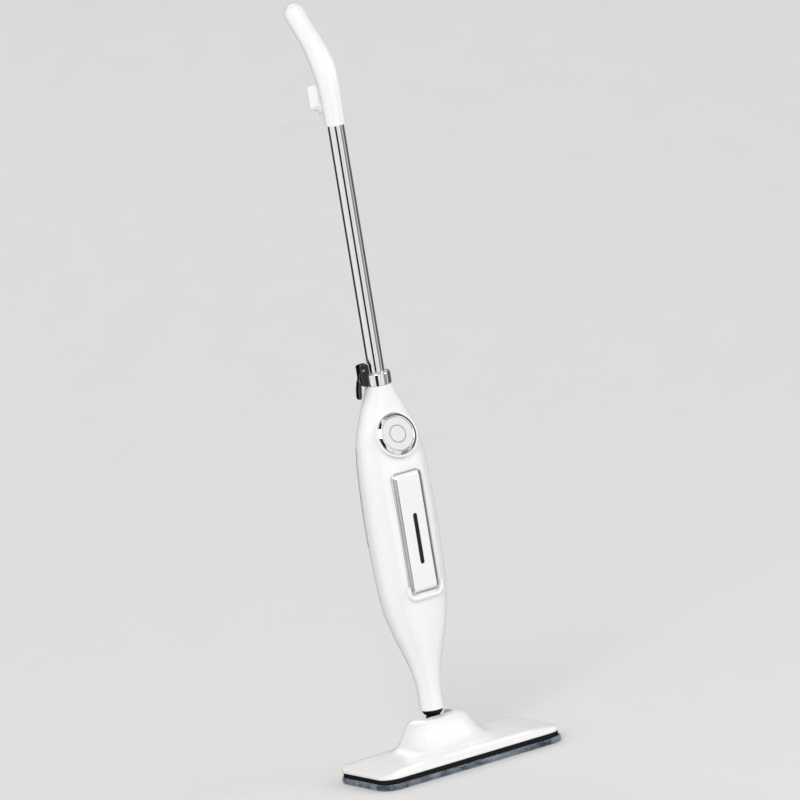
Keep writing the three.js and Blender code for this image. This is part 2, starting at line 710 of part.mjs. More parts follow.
// Where the body's back wall is at a height.
function bodyBackAt(height) {
  for (let t = 0; t <= 1; t += 0.002) {
    const point = bodyBack.getPoint(t);
    if (point.x >= height) return point.y;
  }
  return BODY_STATIONS[BODY_STATIONS.length - 1][3];
}

// A shape of the button's own frame: its face at 0, depth counted inwards.
function atDial(solid) {
  const turn = new THREE.Matrix4().makeRotationX(Math.PI / 2 - DIAL_TILT);
  const place = new THREE.Matrix4().makeTranslation(0, DIAL_Y, DIAL_Z);
  return solid.transform(place.multiply(turn).toArray());
}
const dialDisc = (radius, from, to, sides = 32) =>
  atDial(turned([[0, -to], [radius, -to], [radius, -from], [0, -from]], sides));
const dialRing = (outer, inner, from, to) => atDial(ring(outer, inner, -to, -from, 32));

function tankShape(grow) {
  return roundedRectangle(
    -TANK_HALF - grow, TANK_HALF + grow, TANK_FOOT - grow, TANK_TOP + grow, TANK_CORNER + grow,
  );
}

function bay(grow, backY) {
  return extrudeAlongY(tankShape(grow), -FAR, backY);
}

function trimStrip(side, proud, depth, grow) {
  const band = cut(bodyForm(-proud), bodyForm(depth, 1));
  const [near, far] = side < 0 ? [-FAR, 0] : [0, FAR];
  const reach = TRIM_WIDTH / 2 + grow;
  const window = box(near, far, SPLIT_Y - reach, SPLIT_Y + reach, TRIM_FOOT - grow, TRIM_TOP + grow);
  return band.intersect(window);
}

function shellScrewPlaces() {
  const places = [];
  for (const x of [-SHELL_SCREW_X, SHELL_SCREW_X]) {
    for (const z of SHELL_SCREW_HEIGHTS) places.push([x, z]);
  }
  return places;
}

function shellScrewLine([x, z]) {
  const seatY = SPLIT_Y + 6;
  return [[x, seatY, z], [x, seatY - SHELL_BOSS_LENGTH, z]];
}

function switchPillar(x) {
  const pillar = rod([x, 0, -WELL_DEPTH - 1], [x, 0, -SWITCH_FOOT], SWITCH_PILLAR_R, 10);
  return atDial(pillar);
}

// Ribs, seats and bosses inside the body, before the shells are parted.
function bodyInsides() {
  const shelf = (z) => box(-FAR, FAR, -FAR, FAR, z, z + SHELF_THICKNESS);
  const boilerShelf = shelf(BOILER_SHELF).subtract(rod([0, 0, 0], [0, 0, FAR], 12));
  const pumpShelf = cut(
    shelf(PUMP_SHELF),
    rod([0, PUMP_Y, 0], [0, PUMP_Y, FAR], HOSE_R + 2.5),
    box(-FAR, FAR, -FAR, TANK_BACK_Y + GAP, 0, FAR),
  );
  let parts = union(boilerShelf, pumpShelf);
  for (const [x, z] of shellScrewPlaces()) {
    const outward = Math.sign(x) * FAR;
    const y0 = SPLIT_Y - SHELL_BOSS_LENGTH;
    parts = parts.add(rod([x, y0, z], [x, FAR, z], SHELL_BOSS_R, 16));
    const web = box(Math.min(x, outward), Math.max(x, outward), y0, SPLIT_Y + 6, z - 1.5, z + 1.5);
    parts = parts.add(web);
  }
  for (const x of [-0.7 * BOARD_HALF, 0.7 * BOARD_HALF]) {
    for (const z of [BOARD_FOOT + 8, BOARD_TOP - 8]) {
      const start = BOARD_Y + BOARD_THICKNESS + GAP;
      parts = parts.add(rod([x, start, z], [x, FAR, z], 3, 12));
    }
  }
  return parts;
}

function bodyShells() {
  const outer = bodyForm(0);
  const core = bodyForm(SHELL_WALL, 2, CORE_STEPS);
  const seats = bodyForm(SHELL_WALL / 2);
  const liner = bay(GAP + BAY_WALL, TANK_BACK_Y + GAP + BAY_WALL);
  const well = dialDisc(BEZEL_R + GAP + WELL_WALL, WELL_RIM, WELL_DEPTH + WELL_FLOOR);
  const lip = extrudeAlongY(
    roundedRectangle(
      -LIP_HALF, LIP_HALF, TANK_FOOT - LIP_DROP, TANK_FOOT + 12, TANK_CORNER,
    ),
    LIP_FACE_Y, TANK_BACK_Y,
  );
  const dialClear = dialDisc(BEZEL_R + GAP, -FAR / 10, WELL_DEPTH);
  let shell = cut(outer, core).add(bodyInsides().intersect(seats));
  shell = shell.add(liner.intersect(outer)).add(well).add(lip);
  for (const x of [-1, 1]) shell = shell.add(switchPillar(x * (SWITCH_BOARD_HALF - 2)));
  const bead = extrudeAlongY(tankShape(BEAD_WIDTH + 2 * GAP), BEAD_FACE_Y - FAR, BEAD_BACK_Y + GAP);
  const pathFoot = TUBE_FOOT - BUSH_FLANGE - TUBE_STROKE - 2;
  const tubePath = rod([0, 0, pathFoot], [0, 0, SLEEVE_FOOT], BUSH_FLANGE_R + BUSH_PATH, 24);
  const slotHalf = SWITCH_SIZE / 2 + GAP;
  const switchSlot = atDial(box(-slotHalf, slotHalf, -slotHalf, slotHalf, -SWITCH_FOOT, 0));
  shell = cut(shell, bay(GAP, TANK_BACK_Y + GAP), bead, dialClear, switchSlot, tubePath);
  shell = cut(shell, rod([0, TANK_BACK_Y - 2, VALVE_Z], [0, 0, VALVE_Z], VALVE_R + 2 * GAP, 20));
  for (const side of [-1, 1]) shell = shell.subtract(trimStrip(side, 2, TRIM_DEPTH + GAP, GAP));
  shell = shell.subtract(rod([0, 0, GLAND_Z], [0, FAR, GLAND_Z], GLAND_R + GAP, 16));
  for (const place of shellScrewPlaces()) {
    shell = shell.subtract(screwHole(...shellScrewLine(place)));
  }
  const half = GAP / 2;
  const rearCut = box(-FAR, FAR, SPLIT_Y - half, FAR, REAR_SHELL_FOOT - half, REAR_SHELL_TOP + half);
  const rearKeep = box(-FAR, FAR, SPLIT_Y + half, FAR, REAR_SHELL_FOOT + half, REAR_SHELL_TOP - half);
  return { front: shell.subtract(rearCut), rear: shell.intersect(rearKeep).add(lowerHook()) };
}

// The fixed hook at the foot of the rear shell, with its tongue pointing down.
function lowerHook() {
  const wall = bodyBackAt(LOWER_HOOK_Z) - SHELL_WALL / 2;
  const tongueBack = LOWER_HOOK_REACH;
  const tongueFront = LOWER_HOOK_REACH - HOOK_TONGUE_THICKNESS;
  const half = HOOK_TONGUE_HALF;
  const arm = box(-half + 2, half - 2, wall, tongueBack, LOWER_HOOK_Z - 4, LOWER_HOOK_Z + 4);
  const tongue = extrudeAlongY(
    roundedRectangle(-half, half, LOWER_HOOK_Z - LOWER_HOOK_DROP, LOWER_HOOK_Z + 4, 5),
    tongueFront, tongueBack,
  );
  return arm.add(tongue);
}

// ---- pieces in the body ----
// The tank's outer form, bevelled round its front face.
function tankForm() {
  const block = extrudeAlongY(tankShape(0), TANK_FACE_Y + TANK_BEVEL_DEPTH, TANK_BACK_Y);
  const faceRing = (grow, y) =>
    tankShape(grow).getPoints(4).map((point) => new THREE.Vector3(point.x, y, point.y));
  const start = TANK_FACE_Y + TANK_BEVEL_DEPTH;
  const bevel = loft([faceRing(0, start + 1), faceRing(0, start), faceRing(-TANK_BEVEL, TANK_FACE_Y)]);
  return block.add(bevel);
}

function tank() {
  const outer = tankForm();
  const w = TANK_WALL;
  const water = extrudeAlongY(tankShape(-TANK_BEVEL), TANK_FACE_Y + w, TANK_BACK_Y - w);
  const middle = (TANK_FACE_Y + TANK_BACK_Y) / 2;
  const filler = rod(
    [0, middle, TANK_TOP - PLUG_REACH - w], [0, middle, TANK_TOP + 1], PLUG_R + GAP,
  );
  const stub = rod([0, TANK_BACK_Y - 1, VALVE_Z], [0, TANK_BACK_Y + 2, VALVE_Z], VALVE_R, 20);
  const port = rod([0, TANK_BACK_Y - 3, VALVE_Z], [0, TANK_BACK_Y + 3, VALVE_Z], 1.6, 12);
  return cut(outer.add(stub).subtract(water), filler, port, windowSlot(GAP, TANK_FACE_Y - 1));
}

function windowSlot(grow, faceY) {
  const half = WINDOW_WIDTH / 2 + grow;
  const shape = roundedRectangle(
    WINDOW_X - half, WINDOW_X + half, WINDOW_FOOT - grow, WINDOW_TOP + grow, half - 0.01,
  );
  return extrudeAlongY(shape, faceY, TANK_FACE_Y + TANK_WALL + (grow ? 1 : 0), 8);
}

function tankPlug() {
  const middle = (TANK_FACE_Y + TANK_BACK_Y) / 2;
  const stopper = rod([0, middle, TANK_TOP - TANK_WALL], [0, middle, TANK_TOP], PLUG_R);
  return stopper.add(rod([0, middle, TANK_TOP - PLUG_REACH], [0, middle, TANK_TOP - 1], PLUG_R - 1.2));
}

function tankBead() {
  const shape = tankShape(GAP + BEAD_WIDTH);
  shape.holes.push(tankShape(GAP));
  return extrudeAlongY(shape, BEAD_FACE_Y, BEAD_BACK_Y);
}

function bezel() {
  const inner = BEZEL_R - BEZEL_WIDTH;
  const geometry = new THREE.LatheGeometry(
    [
      [inner, -BEZEL_DEPTH], [BEZEL_R, -BEZEL_DEPTH], [BEZEL_R, -1.2], [BEZEL_R - 1.4, 0.4],
      [inner + 1.4, 0.4], [inner, -0.8], [inner, -BEZEL_DEPTH],
    ].map(([radius, height]) => new THREE.Vector2(radius, height)),
    36,
  );
  geometry.rotateX(Math.PI / 2);
  return atDial(solidOf(geometry));
}

function powerButton() {
  const disc = dialDisc(BUTTON_R, 0, BUTTON_THICKNESS);
  const groove = dialRing(9.6, 8.4, -1, 0.6);
  return disc.subtract(groove);
}

function buttonSwitch() {
  const half = SWITCH_SIZE / 2;
  return atDial(box(-half, half, -half, half, -SWITCH_FOOT, -SWITCH_TOP));
}

function switchBoard() {
  const [half, reach] = [SWITCH_BOARD_HALF, SWITCH_BOARD_REACH];
  const front = -SWITCH_FOOT - GAP;
  return atDial(box(-half, half, -reach, reach, front - BOARD_THICKNESS, front));
}

function boiler() {
  const side = BOILER_R - 2;
  const profile = [[0, BOILER_FOOT], [BOILER_R, BOILER_FOOT]];
  const fins = 3;
  const pitch = (BOILER_TOP - BOILER_FOOT) / (2 * fins + 1);
  for (let i = 0; i < fins; i++) {
    const z = BOILER_FOOT + (2 * i + 1) * pitch;
    profile.push([BOILER_R, z], [side, z], [side, z + pitch], [BOILER_R, z + pitch]);
  }
  profile.push([BOILER_R, BOILER_TOP], [0, BOILER_TOP]);
  return turned(profile);
}

function pump() {
  const body = rod([0, PUMP_Y, PUMP_FOOT + 12], [0, PUMP_Y, PUMP_FOOT + PUMP_LENGTH], PUMP_R);
  const base = box(-9, 9, PUMP_Y - 9, PUMP_Y + 9, PUMP_FOOT, PUMP_FOOT + 14);
  return body.add(base);
}

function buildBody(group) {
  const shells = bodyShells();
  addPart(group, 'neck_collar', neckCollar(), BLACK);
  addPart(group, 'front_shell', shells.front, WHITE);
  addPart(group, 'rear_shell', shells.rear, WHITE);
  for (const [side, sign] of [['left', -1], ['right', 1]]) {
    addPart(group, `side_trim_${side}`, trimStrip(sign, TRIM_PROUD, TRIM_DEPTH, 0), GREY);
  }
  shellScrewPlaces().forEach((place, i) => {
    addPart(group, `shell_screw_${i + 1}`, screw(...shellScrewLine(place)), STEEL);
  });
  addPart(group, 'tank_bead', tankBead(), CHROME);
  addPart(group, 'button_bezel', bezel(), CHROME);
  addPart(group, 'button_switch', buttonSwitch(), BLACK);
  addPart(group, 'switch_board', switchBoard(), BOARD);
  addPart(group, 'boiler', boiler(), STEEL);
  addPart(group, 'pump', pump(), GREY);
  const board = box(
    -BOARD_HALF, BOARD_HALF, BOARD_Y, BOARD_Y + BOARD_THICKNESS, BOARD_FOOT, BOARD_TOP,
  );
  addPart(group, 'control_board', board, BOARD);
  buildHoses(group);
  addPart(group, 'cord_gland', cordGland(), RUBBER);
}

function buildHoses(group) {
  const pumpFace = PUMP_Y - 9;
  const inlet = hose(
    [[0, TANK_BACK_Y + 2 + GAP, VALVE_Z], [0, pumpFace - GAP, VALVE_Z]], HOSE_R, HOSE_BORE_R, 1,
  );
  const feed = hose(
    [
      [0, PUMP_Y, PUMP_FOOT - GAP], [0, PUMP_Y, PUMP_FOOT - 7],
      [0, 18, BOILER_TOP + 9], [0, 12, BOILER_TOP + 5], [0, 12, BOILER_TOP + 2 * GAP],
    ],
    HOSE_R, HOSE_BORE_R,
  );
  const steam = hose(
    [[0, 0, SPIGOT_HEIGHT - 8], [0, 0, BOILER_FOOT - GAP]], 4.8, 3, 1,
  );
  addPart(group, 'water_inlet_hose', inlet, SILICONE);
  addPart(group, 'boiler_feed_hose', feed, SILICONE);
  addPart(group, 'steam_hose', steam, SILICONE);
}

// A grooved rubber bush in the rear wall, with a flange on each face.
function cordGland() {
  const wall = bodyBackAt(GLAND_Z);
  const out = wall + GAP + 0.5;
  const inner = wall - SHELL_WALL - GAP - 0.6;
  const sleeve = rod([0, inner, GLAND_Z], [0, out, GLAND_Z], GLAND_R);
  const outerFlange = rod([0, out - 0.1, GLAND_Z], [0, out + GLAND_FLANGE, GLAND_Z], GLAND_FLANGE_R);
  const innerFlange = rod([0, inner - 2, GLAND_Z], [0, inner, GLAND_Z], GLAND_FLANGE_R - 1);
  const bore = rod([0, 0, GLAND_Z], [0, FAR, GLAND_Z], GLAND_BORE_R);
  return union(sleeve, outerFlange, innerFlange).subtract(bore);
}

function buildTank(group) {
  addPart(group, 'water_tank', tank(), OFF_WHITE);
  addPart(group, 'level_window', windowSlot(0, TANK_FACE_Y - 0.2), SMOKED);
  addPart(group, 'tank_plug', tankPlug(), RUBBER);
}

// ---- telescopic tube, its guide and its clamp ----
function guideSleeve() {
  const top = CLAMP_FOOT + CLAMP_HEIGHT;
  const sleeve = ring(SLEEVE_OUTER_R, SLEEVE_R, SLEEVE_FOOT, top);
  const flanges = SLEEVE_FLANGE_DROPS.map((drop) =>
    ring(SLEEVE_FLANGE_R, SLEEVE_R + 1, BODY_TOP - drop, BODY_TOP - drop + SLEEVE_FLANGE),
  );
  return union(sleeve, ...flanges);
}

function clampCollar() {
  const top = CLAMP_FOOT + CLAMP_HEIGHT;
  const lugs = box(LUG_OUTER_X, -CLAMP_BORE_R, -LUG_HALF, LUG_HALF, LUG_FOOT, LUG_TOP);
  const band = ring(CLAMP_R, CLAMP_BORE_R - 0.01, CLAMP_FOOT, top, 32);
  const bore = rod([0, 0, 0], [0, 0, 2 * FAR], CLAMP_BORE_R, 32);
  const slot = box(-FAR, 0, -HUB_HALF - GAP, HUB_HALF + GAP, 0, 2 * FAR);
  const pinBore = rod([LEVER_X, -FAR, LEVER_Z], [LEVER_X, FAR, LEVER_Z], LEVER_PIN_R + GAP, 16);
  return cut(lugs.add(band), bore, slot, pinBore);
}

// The block that the lever's cam presses on the tube.
function brakeShoe() {
  const x0 = LEVER_X + LEVER_HUB_R + GAP;
  const shoe = box(x0, 0, -HUB_HALF, HUB_HALF, LEVER_Z - 7, LEVER_Z + 7);
  return shoe.subtract(rod([0, 0, 0], [0, 0, 2 * FAR], TUBE_R + RUN, 32));
}

function clampLever() {
  const hub = rod([LEVER_X, -HUB_HALF, LEVER_Z], [LEVER_X, HUB_HALF, LEVER_Z], LEVER_HUB_R);
  const half = LEVER_ARM_THICKNESS / 2;
  const arm = new THREE.Shape();
  arm.moveTo(LEVER_X - half, LEVER_Z);
  arm.quadraticCurveTo(LEVER_X - 9, LEVER_Z - 14, LEVER_TIP_X - half + 1.5, LEVER_TIP_Z + 12);
  arm.lineTo(LEVER_TIP_X - half, LEVER_TIP_Z);
  arm.lineTo(LEVER_TIP_X + half, LEVER_TIP_Z - 1);
  arm.lineTo(LEVER_TIP_X + half + 1.5, LEVER_TIP_Z + 12);
  arm.quadraticCurveTo(LEVER_X - 3.5, LEVER_Z - 15, LEVER_X + half, LEVER_Z);
  const wide = extrudeAlongY(arm, -LEVER_ARM_HALF, LEVER_ARM_HALF, 8);
  const lugRoom = box(LUG_OUTER_X - 1, 0, -FAR, FAR, LUG_FOOT - 1, LUG_TOP + 1);
  const neck = wide.intersect(box(-FAR, FAR, -HUB_HALF, HUB_HALF, 0, 2 * FAR));
  const bore = rod([LEVER_X, -FAR, LEVER_Z], [LEVER_X, FAR, LEVER_Z], LEVER_PIN_R + RUN, 16);
  return cut(union(hub, neck, wide.subtract(lugRoom)), bore);
}

function buildClamp(group) {
  addPart(group, 'guide_sleeve', guideSleeve(), OFF_WHITE);
  addPart(group, 'clamp_collar', clampCollar(), CHROME);
  addPart(group, 'brake_shoe', brakeShoe(), BLACK);
  const y = LUG_HALF + 0.6;
  const pin = rod([LEVER_X, -y, LEVER_Z], [LEVER_X, y, LEVER_Z], LEVER_PIN_R, 16);
  addPart(group, 'lever_pin', pin, STEEL);
  addPart(group, 'clamp_lever', clampLever(), DARK_CHROME);
}

function glideBush() {
  const spigotR = TUBE_R - TUBE_WALL - GAP;
  return turned([
    [0, TUBE_FOOT - GAP - BUSH_FLANGE],
    [BUSH_FLANGE_R, TUBE_FOOT - GAP - BUSH_FLANGE],
    [BUSH_FLANGE_R, TUBE_FOOT - GAP],
    [spigotR, TUBE_FOOT - GAP],
    [spigotR, TUBE_FOOT + BUSH_SPIGOT],
    [0, TUBE_FOOT + BUSH_SPIGOT],
  ]);
}

// ---- grip ----
const gripCurve = new THREE.CatmullRomCurve3(
  GRIP_PATH.map(([back, height]) => new THREE.Vector3(0, back, TUBE_VISIBLE_TOP + height)),
);

function gripRadius(t) {
  const swell = Math.sin(Math.PI * Math.min(t / 0.75, 1)) ** 2;
  const base = THREE.MathUtils.lerp(GRIP_FOOT_R, GRIP_END_R, t);
  return base + (GRIP_MID_R - GRIP_FOOT_R) * swell;
}

function gripRing(t, radius, lift = 0) {
  const centre = gripCurve.getPointAt(t);
  const tangent = gripCurve.getTangentAt(t);
  const sideways = new THREE.Vector3(1, 0, 0);
  const across = new THREE.Vector3().crossVectors(tangent, sideways);
  centre.addScaledVector(tangent, lift);
  const points = [];
  for (let i = 0; i < GRIP_SIDES; i++) {
    const angle = (2 * Math.PI * i) / GRIP_SIDES;
    points.push(
      centre.clone().addScaledVector(sideways, radius * Math.cos(angle))
        .addScaledVector(across, -radius * Math.sin(angle)),
    );
  }
  return points;
}

// The grip's round form, with a domed end.
function gripForm(inset, from) {
  const rings = [];
  for (let i = 0; i <= GRIP_STEPS; i++) {
    const t = from + ((1 - from) * i) / GRIP_STEPS;
    rings.push(gripRing(t, gripRadius(t) - inset));
  }
  const endRadius = gripRadius(1) - inset;
  for (let i = 1; i <= GRIP_DOME_STEPS; i++) {
    const angle = (0.46 * Math.PI * i) / GRIP_DOME_STEPS;
    rings.push(gripRing(1, endRadius * Math.cos(angle), 0.85 * endRadius * Math.sin(angle)));
  }
  return loft(rings);
}

function gripScrewLine(t) {
  const centre = gripCurve.getPointAt(t);
  const seatX = gripRadius(t) - 5.5;
  return [[seatX, centre.y, centre.z], [seatX - 16, centre.y, centre.z]];
}

function gripBody() {
  const socketTop = TUBE_VISIBLE_TOP + TUBE_IN_GRIP;
  const hollowFrom = (TUBE_IN_GRIP + 4) / gripCurve.getLength();
  const outer = gripForm(0, 0);
  const hollow = gripForm(GRIP_WALL, hollowFrom);
  let ribs = null;
  for (const t of GRIP_SCREWS) {
    const { y, z } = gripCurve.getPointAt(t);
    const boss = rod([-FAR, y, z], [FAR, y, z], GRIP_BOSS_R, 16);
    ribs = ribs ? ribs.add(boss) : boss;
  }
  const gusset = new THREE.Shape();
  gusset.moveTo(0, TUBE_VISIBLE_TOP + 1);
  gusset.lineTo(GRIP_FOOT_R, TUBE_VISIBLE_TOP + 1);
  gusset.quadraticCurveTo(GUSSET_Y - 4, HOOK_Z - 19, GUSSET_Y, HOOK_Z - HOOK_ARM_R - 3);
  gusset.lineTo(GUSSET_Y, HOOK_Z - HOOK_ARM_R - 0.5);
  gusset.lineTo(0, HOOK_Z - HOOK_ARM_R - 0.5);
  const webGeometry = new THREE.ExtrudeGeometry(gusset, {
    depth: 2 * GUSSET_HALF, bevelEnabled: false, curveSegments: 6,
  });
  webGeometry.applyMatrix4(new THREE.Matrix4().set(
    0, 0, 1, -GUSSET_HALF,
    1, 0, 0, 0,
    0, 1, 0, 0,
    0, 0, 0, 1,
  ));
  const boss = rod([0, 0, HOOK_Z], [0, HOOK_BOSS_END, HOOK_Z], HOOK_BOSS_R, 20);
  const whole = union(cut(outer, hollow).add(ribs.intersect(outer)), solidOf(webGeometry), boss);
  const tubeSocket = rod(
    [0, 0, TUBE_VISIBLE_TOP - 1], [0, 0, socketTop + 4.5], TUBE_R + GAP, 32,
  );
  return cut(whole, tubeSocket, hookArm(RUN), ...GRIP_SCREWS.map((t) => screwHole(...gripScrewLine(t))));
}

// The hook's shank and the collar that keeps it in the grip.
function hookArm(grow) {
  const start = [0, HOOK_SHANK_START - grow, HOOK_Z];
  const arm = rod(start, [0, HOOK_TONGUE_Y + 1, HOOK_Z], HOOK_ARM_R + grow, 16);
  const collarEnd = HOOK_COLLAR_Y + HOOK_COLLAR_WIDTH + grow;
  const collar = rod(
    [0, HOOK_COLLAR_Y - grow, HOOK_Z], [0, collarEnd, HOOK_Z], HOOK_COLLAR_R + grow, 16,
  );
  return arm.add(collar);
}

function upperHook() {
  const half = HOOK_TONGUE_HALF;
  const tongue = extrudeAlongY(
    roundedRectangle(-half, half, HOOK_Z - HOOK_ARM_R, HOOK_TONGUE_TOP, 5),
    HOOK_TONGUE_Y, HOOK_TONGUE_Y + HOOK_TONGUE_THICKNESS,
  );
  return hookArm(0).add(tongue);
}

function buildPole(group) {
  const socketTop = TUBE_VISIBLE_TOP + TUBE_IN_GRIP;
  addPart(group, 'telescopic_tube', ring(TUBE_R, TUBE_R - TUBE_WALL, TUBE_FOOT, socketTop), CHROME);
  addPart(group, 'tube_glide_bush', glideBush(), OFF_WHITE);
  const grip = gripBody();
  const left = grip.intersect(box(-FAR, -GAP / 2, -FAR, FAR, 0, 4 * FAR));
  const right = grip.intersect(box(GAP / 2, FAR, -FAR, FAR, 0, 4 * FAR));
  addPart(group, 'grip_left_shell', left, WHITE);
  addPart(group, 'grip_right_shell', right, WHITE);
  GRIP_SCREWS.forEach((t, i) => {
    addPart(group, `grip_screw_${i + 1}`, screw(...gripScrewLine(t)), STEEL);
  });
  addPart(group, 'upper_cord_hook', upperHook(), WHITE);
}

function buildButton(group) {
  addPart(group, 'power_button', powerButton(), WHITE);
}

// ---- assembly ----
const mop = new THREE.Group();
buildHead(mop);
buildKnuckle(mop);

const wand = new THREE.Group();
wand.position.set(0, NECK_Y, NECK_Z);
mop.add(wand);
buildBody(wand);
buildTank(wand);
buildButton(wand);
buildClamp(wand);
buildPole(wand);

export default mop;
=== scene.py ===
import json
import math
import random

import bmesh
import bpy
from mathutils import Matrix, Vector, noise


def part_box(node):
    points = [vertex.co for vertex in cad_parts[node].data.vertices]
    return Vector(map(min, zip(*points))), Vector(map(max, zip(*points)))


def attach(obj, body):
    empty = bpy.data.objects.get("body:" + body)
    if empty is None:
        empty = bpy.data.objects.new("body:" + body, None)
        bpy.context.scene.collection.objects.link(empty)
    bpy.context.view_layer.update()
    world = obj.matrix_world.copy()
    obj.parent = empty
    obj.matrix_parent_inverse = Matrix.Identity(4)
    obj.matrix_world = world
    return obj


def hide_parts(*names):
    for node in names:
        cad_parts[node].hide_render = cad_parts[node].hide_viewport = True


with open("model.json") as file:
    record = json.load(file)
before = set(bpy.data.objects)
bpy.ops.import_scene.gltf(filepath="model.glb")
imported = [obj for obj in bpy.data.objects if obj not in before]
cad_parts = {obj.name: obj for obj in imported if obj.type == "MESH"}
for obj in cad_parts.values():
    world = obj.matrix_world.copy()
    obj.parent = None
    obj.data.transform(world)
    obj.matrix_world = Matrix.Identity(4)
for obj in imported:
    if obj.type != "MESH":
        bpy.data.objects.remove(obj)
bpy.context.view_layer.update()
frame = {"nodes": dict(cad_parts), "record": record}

# Upright steam mop. Metres, +Z up, front towards -Y, as in the frame.
MM = 0.001
GAP = 0.3 * MM  # between pieces that touch
FAR = 0.4  # further than the mop reaches sideways
ABOVE = 2  # higher than the mop
X, Y, Z = Vector((1, 0, 0)), Vector((0, 1, 0)), Vector((0, 0, 1))

# The body's axis and foot, which its heights are counted from.
collar_low, collar_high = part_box("neck_collar")
NECK = Vector((0, (collar_low.y + collar_high.y) / 2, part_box("front_shell")[0].z))
AXIS = Matrix.Translation((0, NECK.y, 0))


# ---- mesh helpers ----
def mesh_piece(name, points, faces):
    mesh = bpy.data.meshes.new(name)
    mesh.from_pydata([tuple(point) for point in points], [], faces)
    piece = bpy.data.objects.new(name, mesh)
    bpy.context.scene.collection.objects.link(piece)
    weld(piece)
    return piece


def weld(piece):
    """Joins points that coincide and turns the faces outwards."""
    work = bmesh.new()
    work.from_mesh(piece.data)
    bmesh.ops.remove_doubles(work, verts=work.verts, dist=1e-6)
    if work.calc_volume(signed=True) < 0:
        bmesh.ops.reverse_faces(work, faces=work.faces)
    work.to_mesh(piece.data)
    work.free()


def loft(name, rings, closed=False):
    """A skin through rings of points, joined end to end or with a flat face over each end."""
    count = len(rings[0])
    points = [point for ring in rings for point in ring]
    faces = []
    for level in range(len(rings) if closed else len(rings) - 1):
        near, far = level * count, (level + 1) % len(rings) * count
        for i in range(count):
            j = (i + 1) % count
            faces.append((near + i, near + j, far + j, far + i))
    if not closed:
        faces.append(tuple(reversed(range(count))))
        faces.append(tuple(range(len(points) - count, len(points))))
    return mesh_piece(name, points, faces)


def fillet(corners, closed=False, steps=5):
    """A line of (a, b, radius) corners with each corner rounded, as (a, b) points."""
    line = []
    for i, (a, b, radius) in enumerate(corners):
        end = not closed and i in (0, len(corners) - 1)
        if end or radius <= 0:
            line.append((a, b))
            continue
        here = Vector((a, b))
        arms = []
        for other in (corners[i - 1], corners[(i + 1) % len(corners)]):
            arm = Vector(other[:2]) - here
            arms.append(here + arm.normalized() * min(radius, 0.48 * arm.length))
        for step in range(steps + 1):
            t = step / steps
            point = arms[0] * (1 - t) ** 2 + here * 2 * t * (1 - t) + arms[1] * t**2
            line.append((point.x, point.y))
    return line


def lathe(name, profile, place, closed=False, segments=96):
    """A (radius, height) line turned about place's Z axis."""
    count = len(profile)
    points = []
    for step in range(segments):
        angle = 2 * math.pi * step / segments
        for radius, height in profile:
            flat = (radius * math.cos(angle), radius * math.sin(angle), height)
            points.append(place @ Vector(flat))
    faces = []
    for step in range(segments):
        near, far = step * count, ((step + 1) % segments) * count
        for i in range(count if closed else count - 1):
            j = (i + 1) % count
            faces.append((near + i, far + i, far + j, near + j))
    return mesh_piece(name, points, faces)


def turned(name, corners, place=AXIS, closed=False, segments=96):
    """A lathe piece from (radius, height, rounding) corners."""
    return lathe(name, fillet(corners, closed), place, closed, segments)


def towards(start, direction):
    """The place whose origin is start and whose Z axis points in direction."""
    turn = Vector(direction).to_track_quat("Z", "Y").to_matrix().to_4x4()
    return Matrix.Translation(start) @ turn


def rod(name, start, end, radius, edge=0.0, segments=48):
    length = (Vector(end) - Vector(start)).length
    corners = [(0, 0, 0), (radius, 0, edge), (radius, length, edge), (0, length, 0)]
    place = towards(start, Vector(end) - Vector(start))
    return lathe(name, fillet(corners, steps=4), place, segments=segments)


def bar(name, middle, half, radius, edge=0.0, segments=48):
    """A rod that reaches as far as the vector half on both sides of its middle."""
    return rod(name, middle - half, middle + half, radius, edge, segments)


def block(low, high):
    """A plain box, only ever used to cut or part other shapes."""
    corners = [(x, y, z) for x in (low[0], high[0]) for y in (low[1], high[1]) for z in (low[2], high[2])]
    faces = [(0, 1, 3, 2), (4, 6, 7, 5), (0, 4, 5, 1), (2, 3, 7, 6), (0, 2, 6, 4), (1, 5, 7, 3)]
    return mesh_piece("block", corners, faces)


def rounded_outline(half_a, half_b, corner, corner_steps=12, side_steps=1):
    """Points round a rounded rectangle, with the same number on every size of it."""
    centres = [
        (half_a - corner, -half_b + corner, -0.5),
        (half_a - corner, half_b - corner, 0),
        (-half_a + corner, half_b - corner, 0.5),
        (-half_a + corner, -half_b + corner, 1),
    ]
    points = []
    for index, (a, b, start) in enumerate(centres):
        for step in range(corner_steps + 1):
            angle = math.pi * (start + 0.5 * step / corner_steps)
            points.append((a + corner * math.cos(angle), b + corner * math.sin(angle)))
        last = Vector(points[-1])
        a, b, start = centres[(index + 1) % 4]
        angle = math.pi * start
        following = Vector((a + corner * math.cos(angle), b + corner * math.sin(angle)))
        for step in range(1, side_steps):
            points.append(tuple(last.lerp(following, step / side_steps)))
    return points


def slab(name, half_a, half_b, corner, place, levels, corner_steps=12, closed=False):
    """A rounded rectangle built up along place's Z through (inset, height) levels."""
    rings = []
    for inset, height in levels:
        rounding = max(corner - inset, 0.05 * MM)
        outline = rounded_outline(half_a - inset, half_b - inset, rounding, corner_steps)
        rings.append([place @ Vector((a, b, height)) for a, b in outline])
    return loft(name, rings, closed)


def plate_levels(thickness, low_edge, high_edge):
    """The levels of a plate whose two rims are rounded."""
    foot = [(2 * low_edge, 0, 0), (0, 0, low_edge)]
    return fillet([*foot, (0, thickness, high_edge), (2 * high_edge, thickness, 0)])


def upright(x, y, z):
    """The place of a shape whose a, b run along X and Z and which is built up towards -Y."""
    return Matrix.Translation((x, y, z)) @ Matrix.Rotation(math.pi / 2, 4, "X")


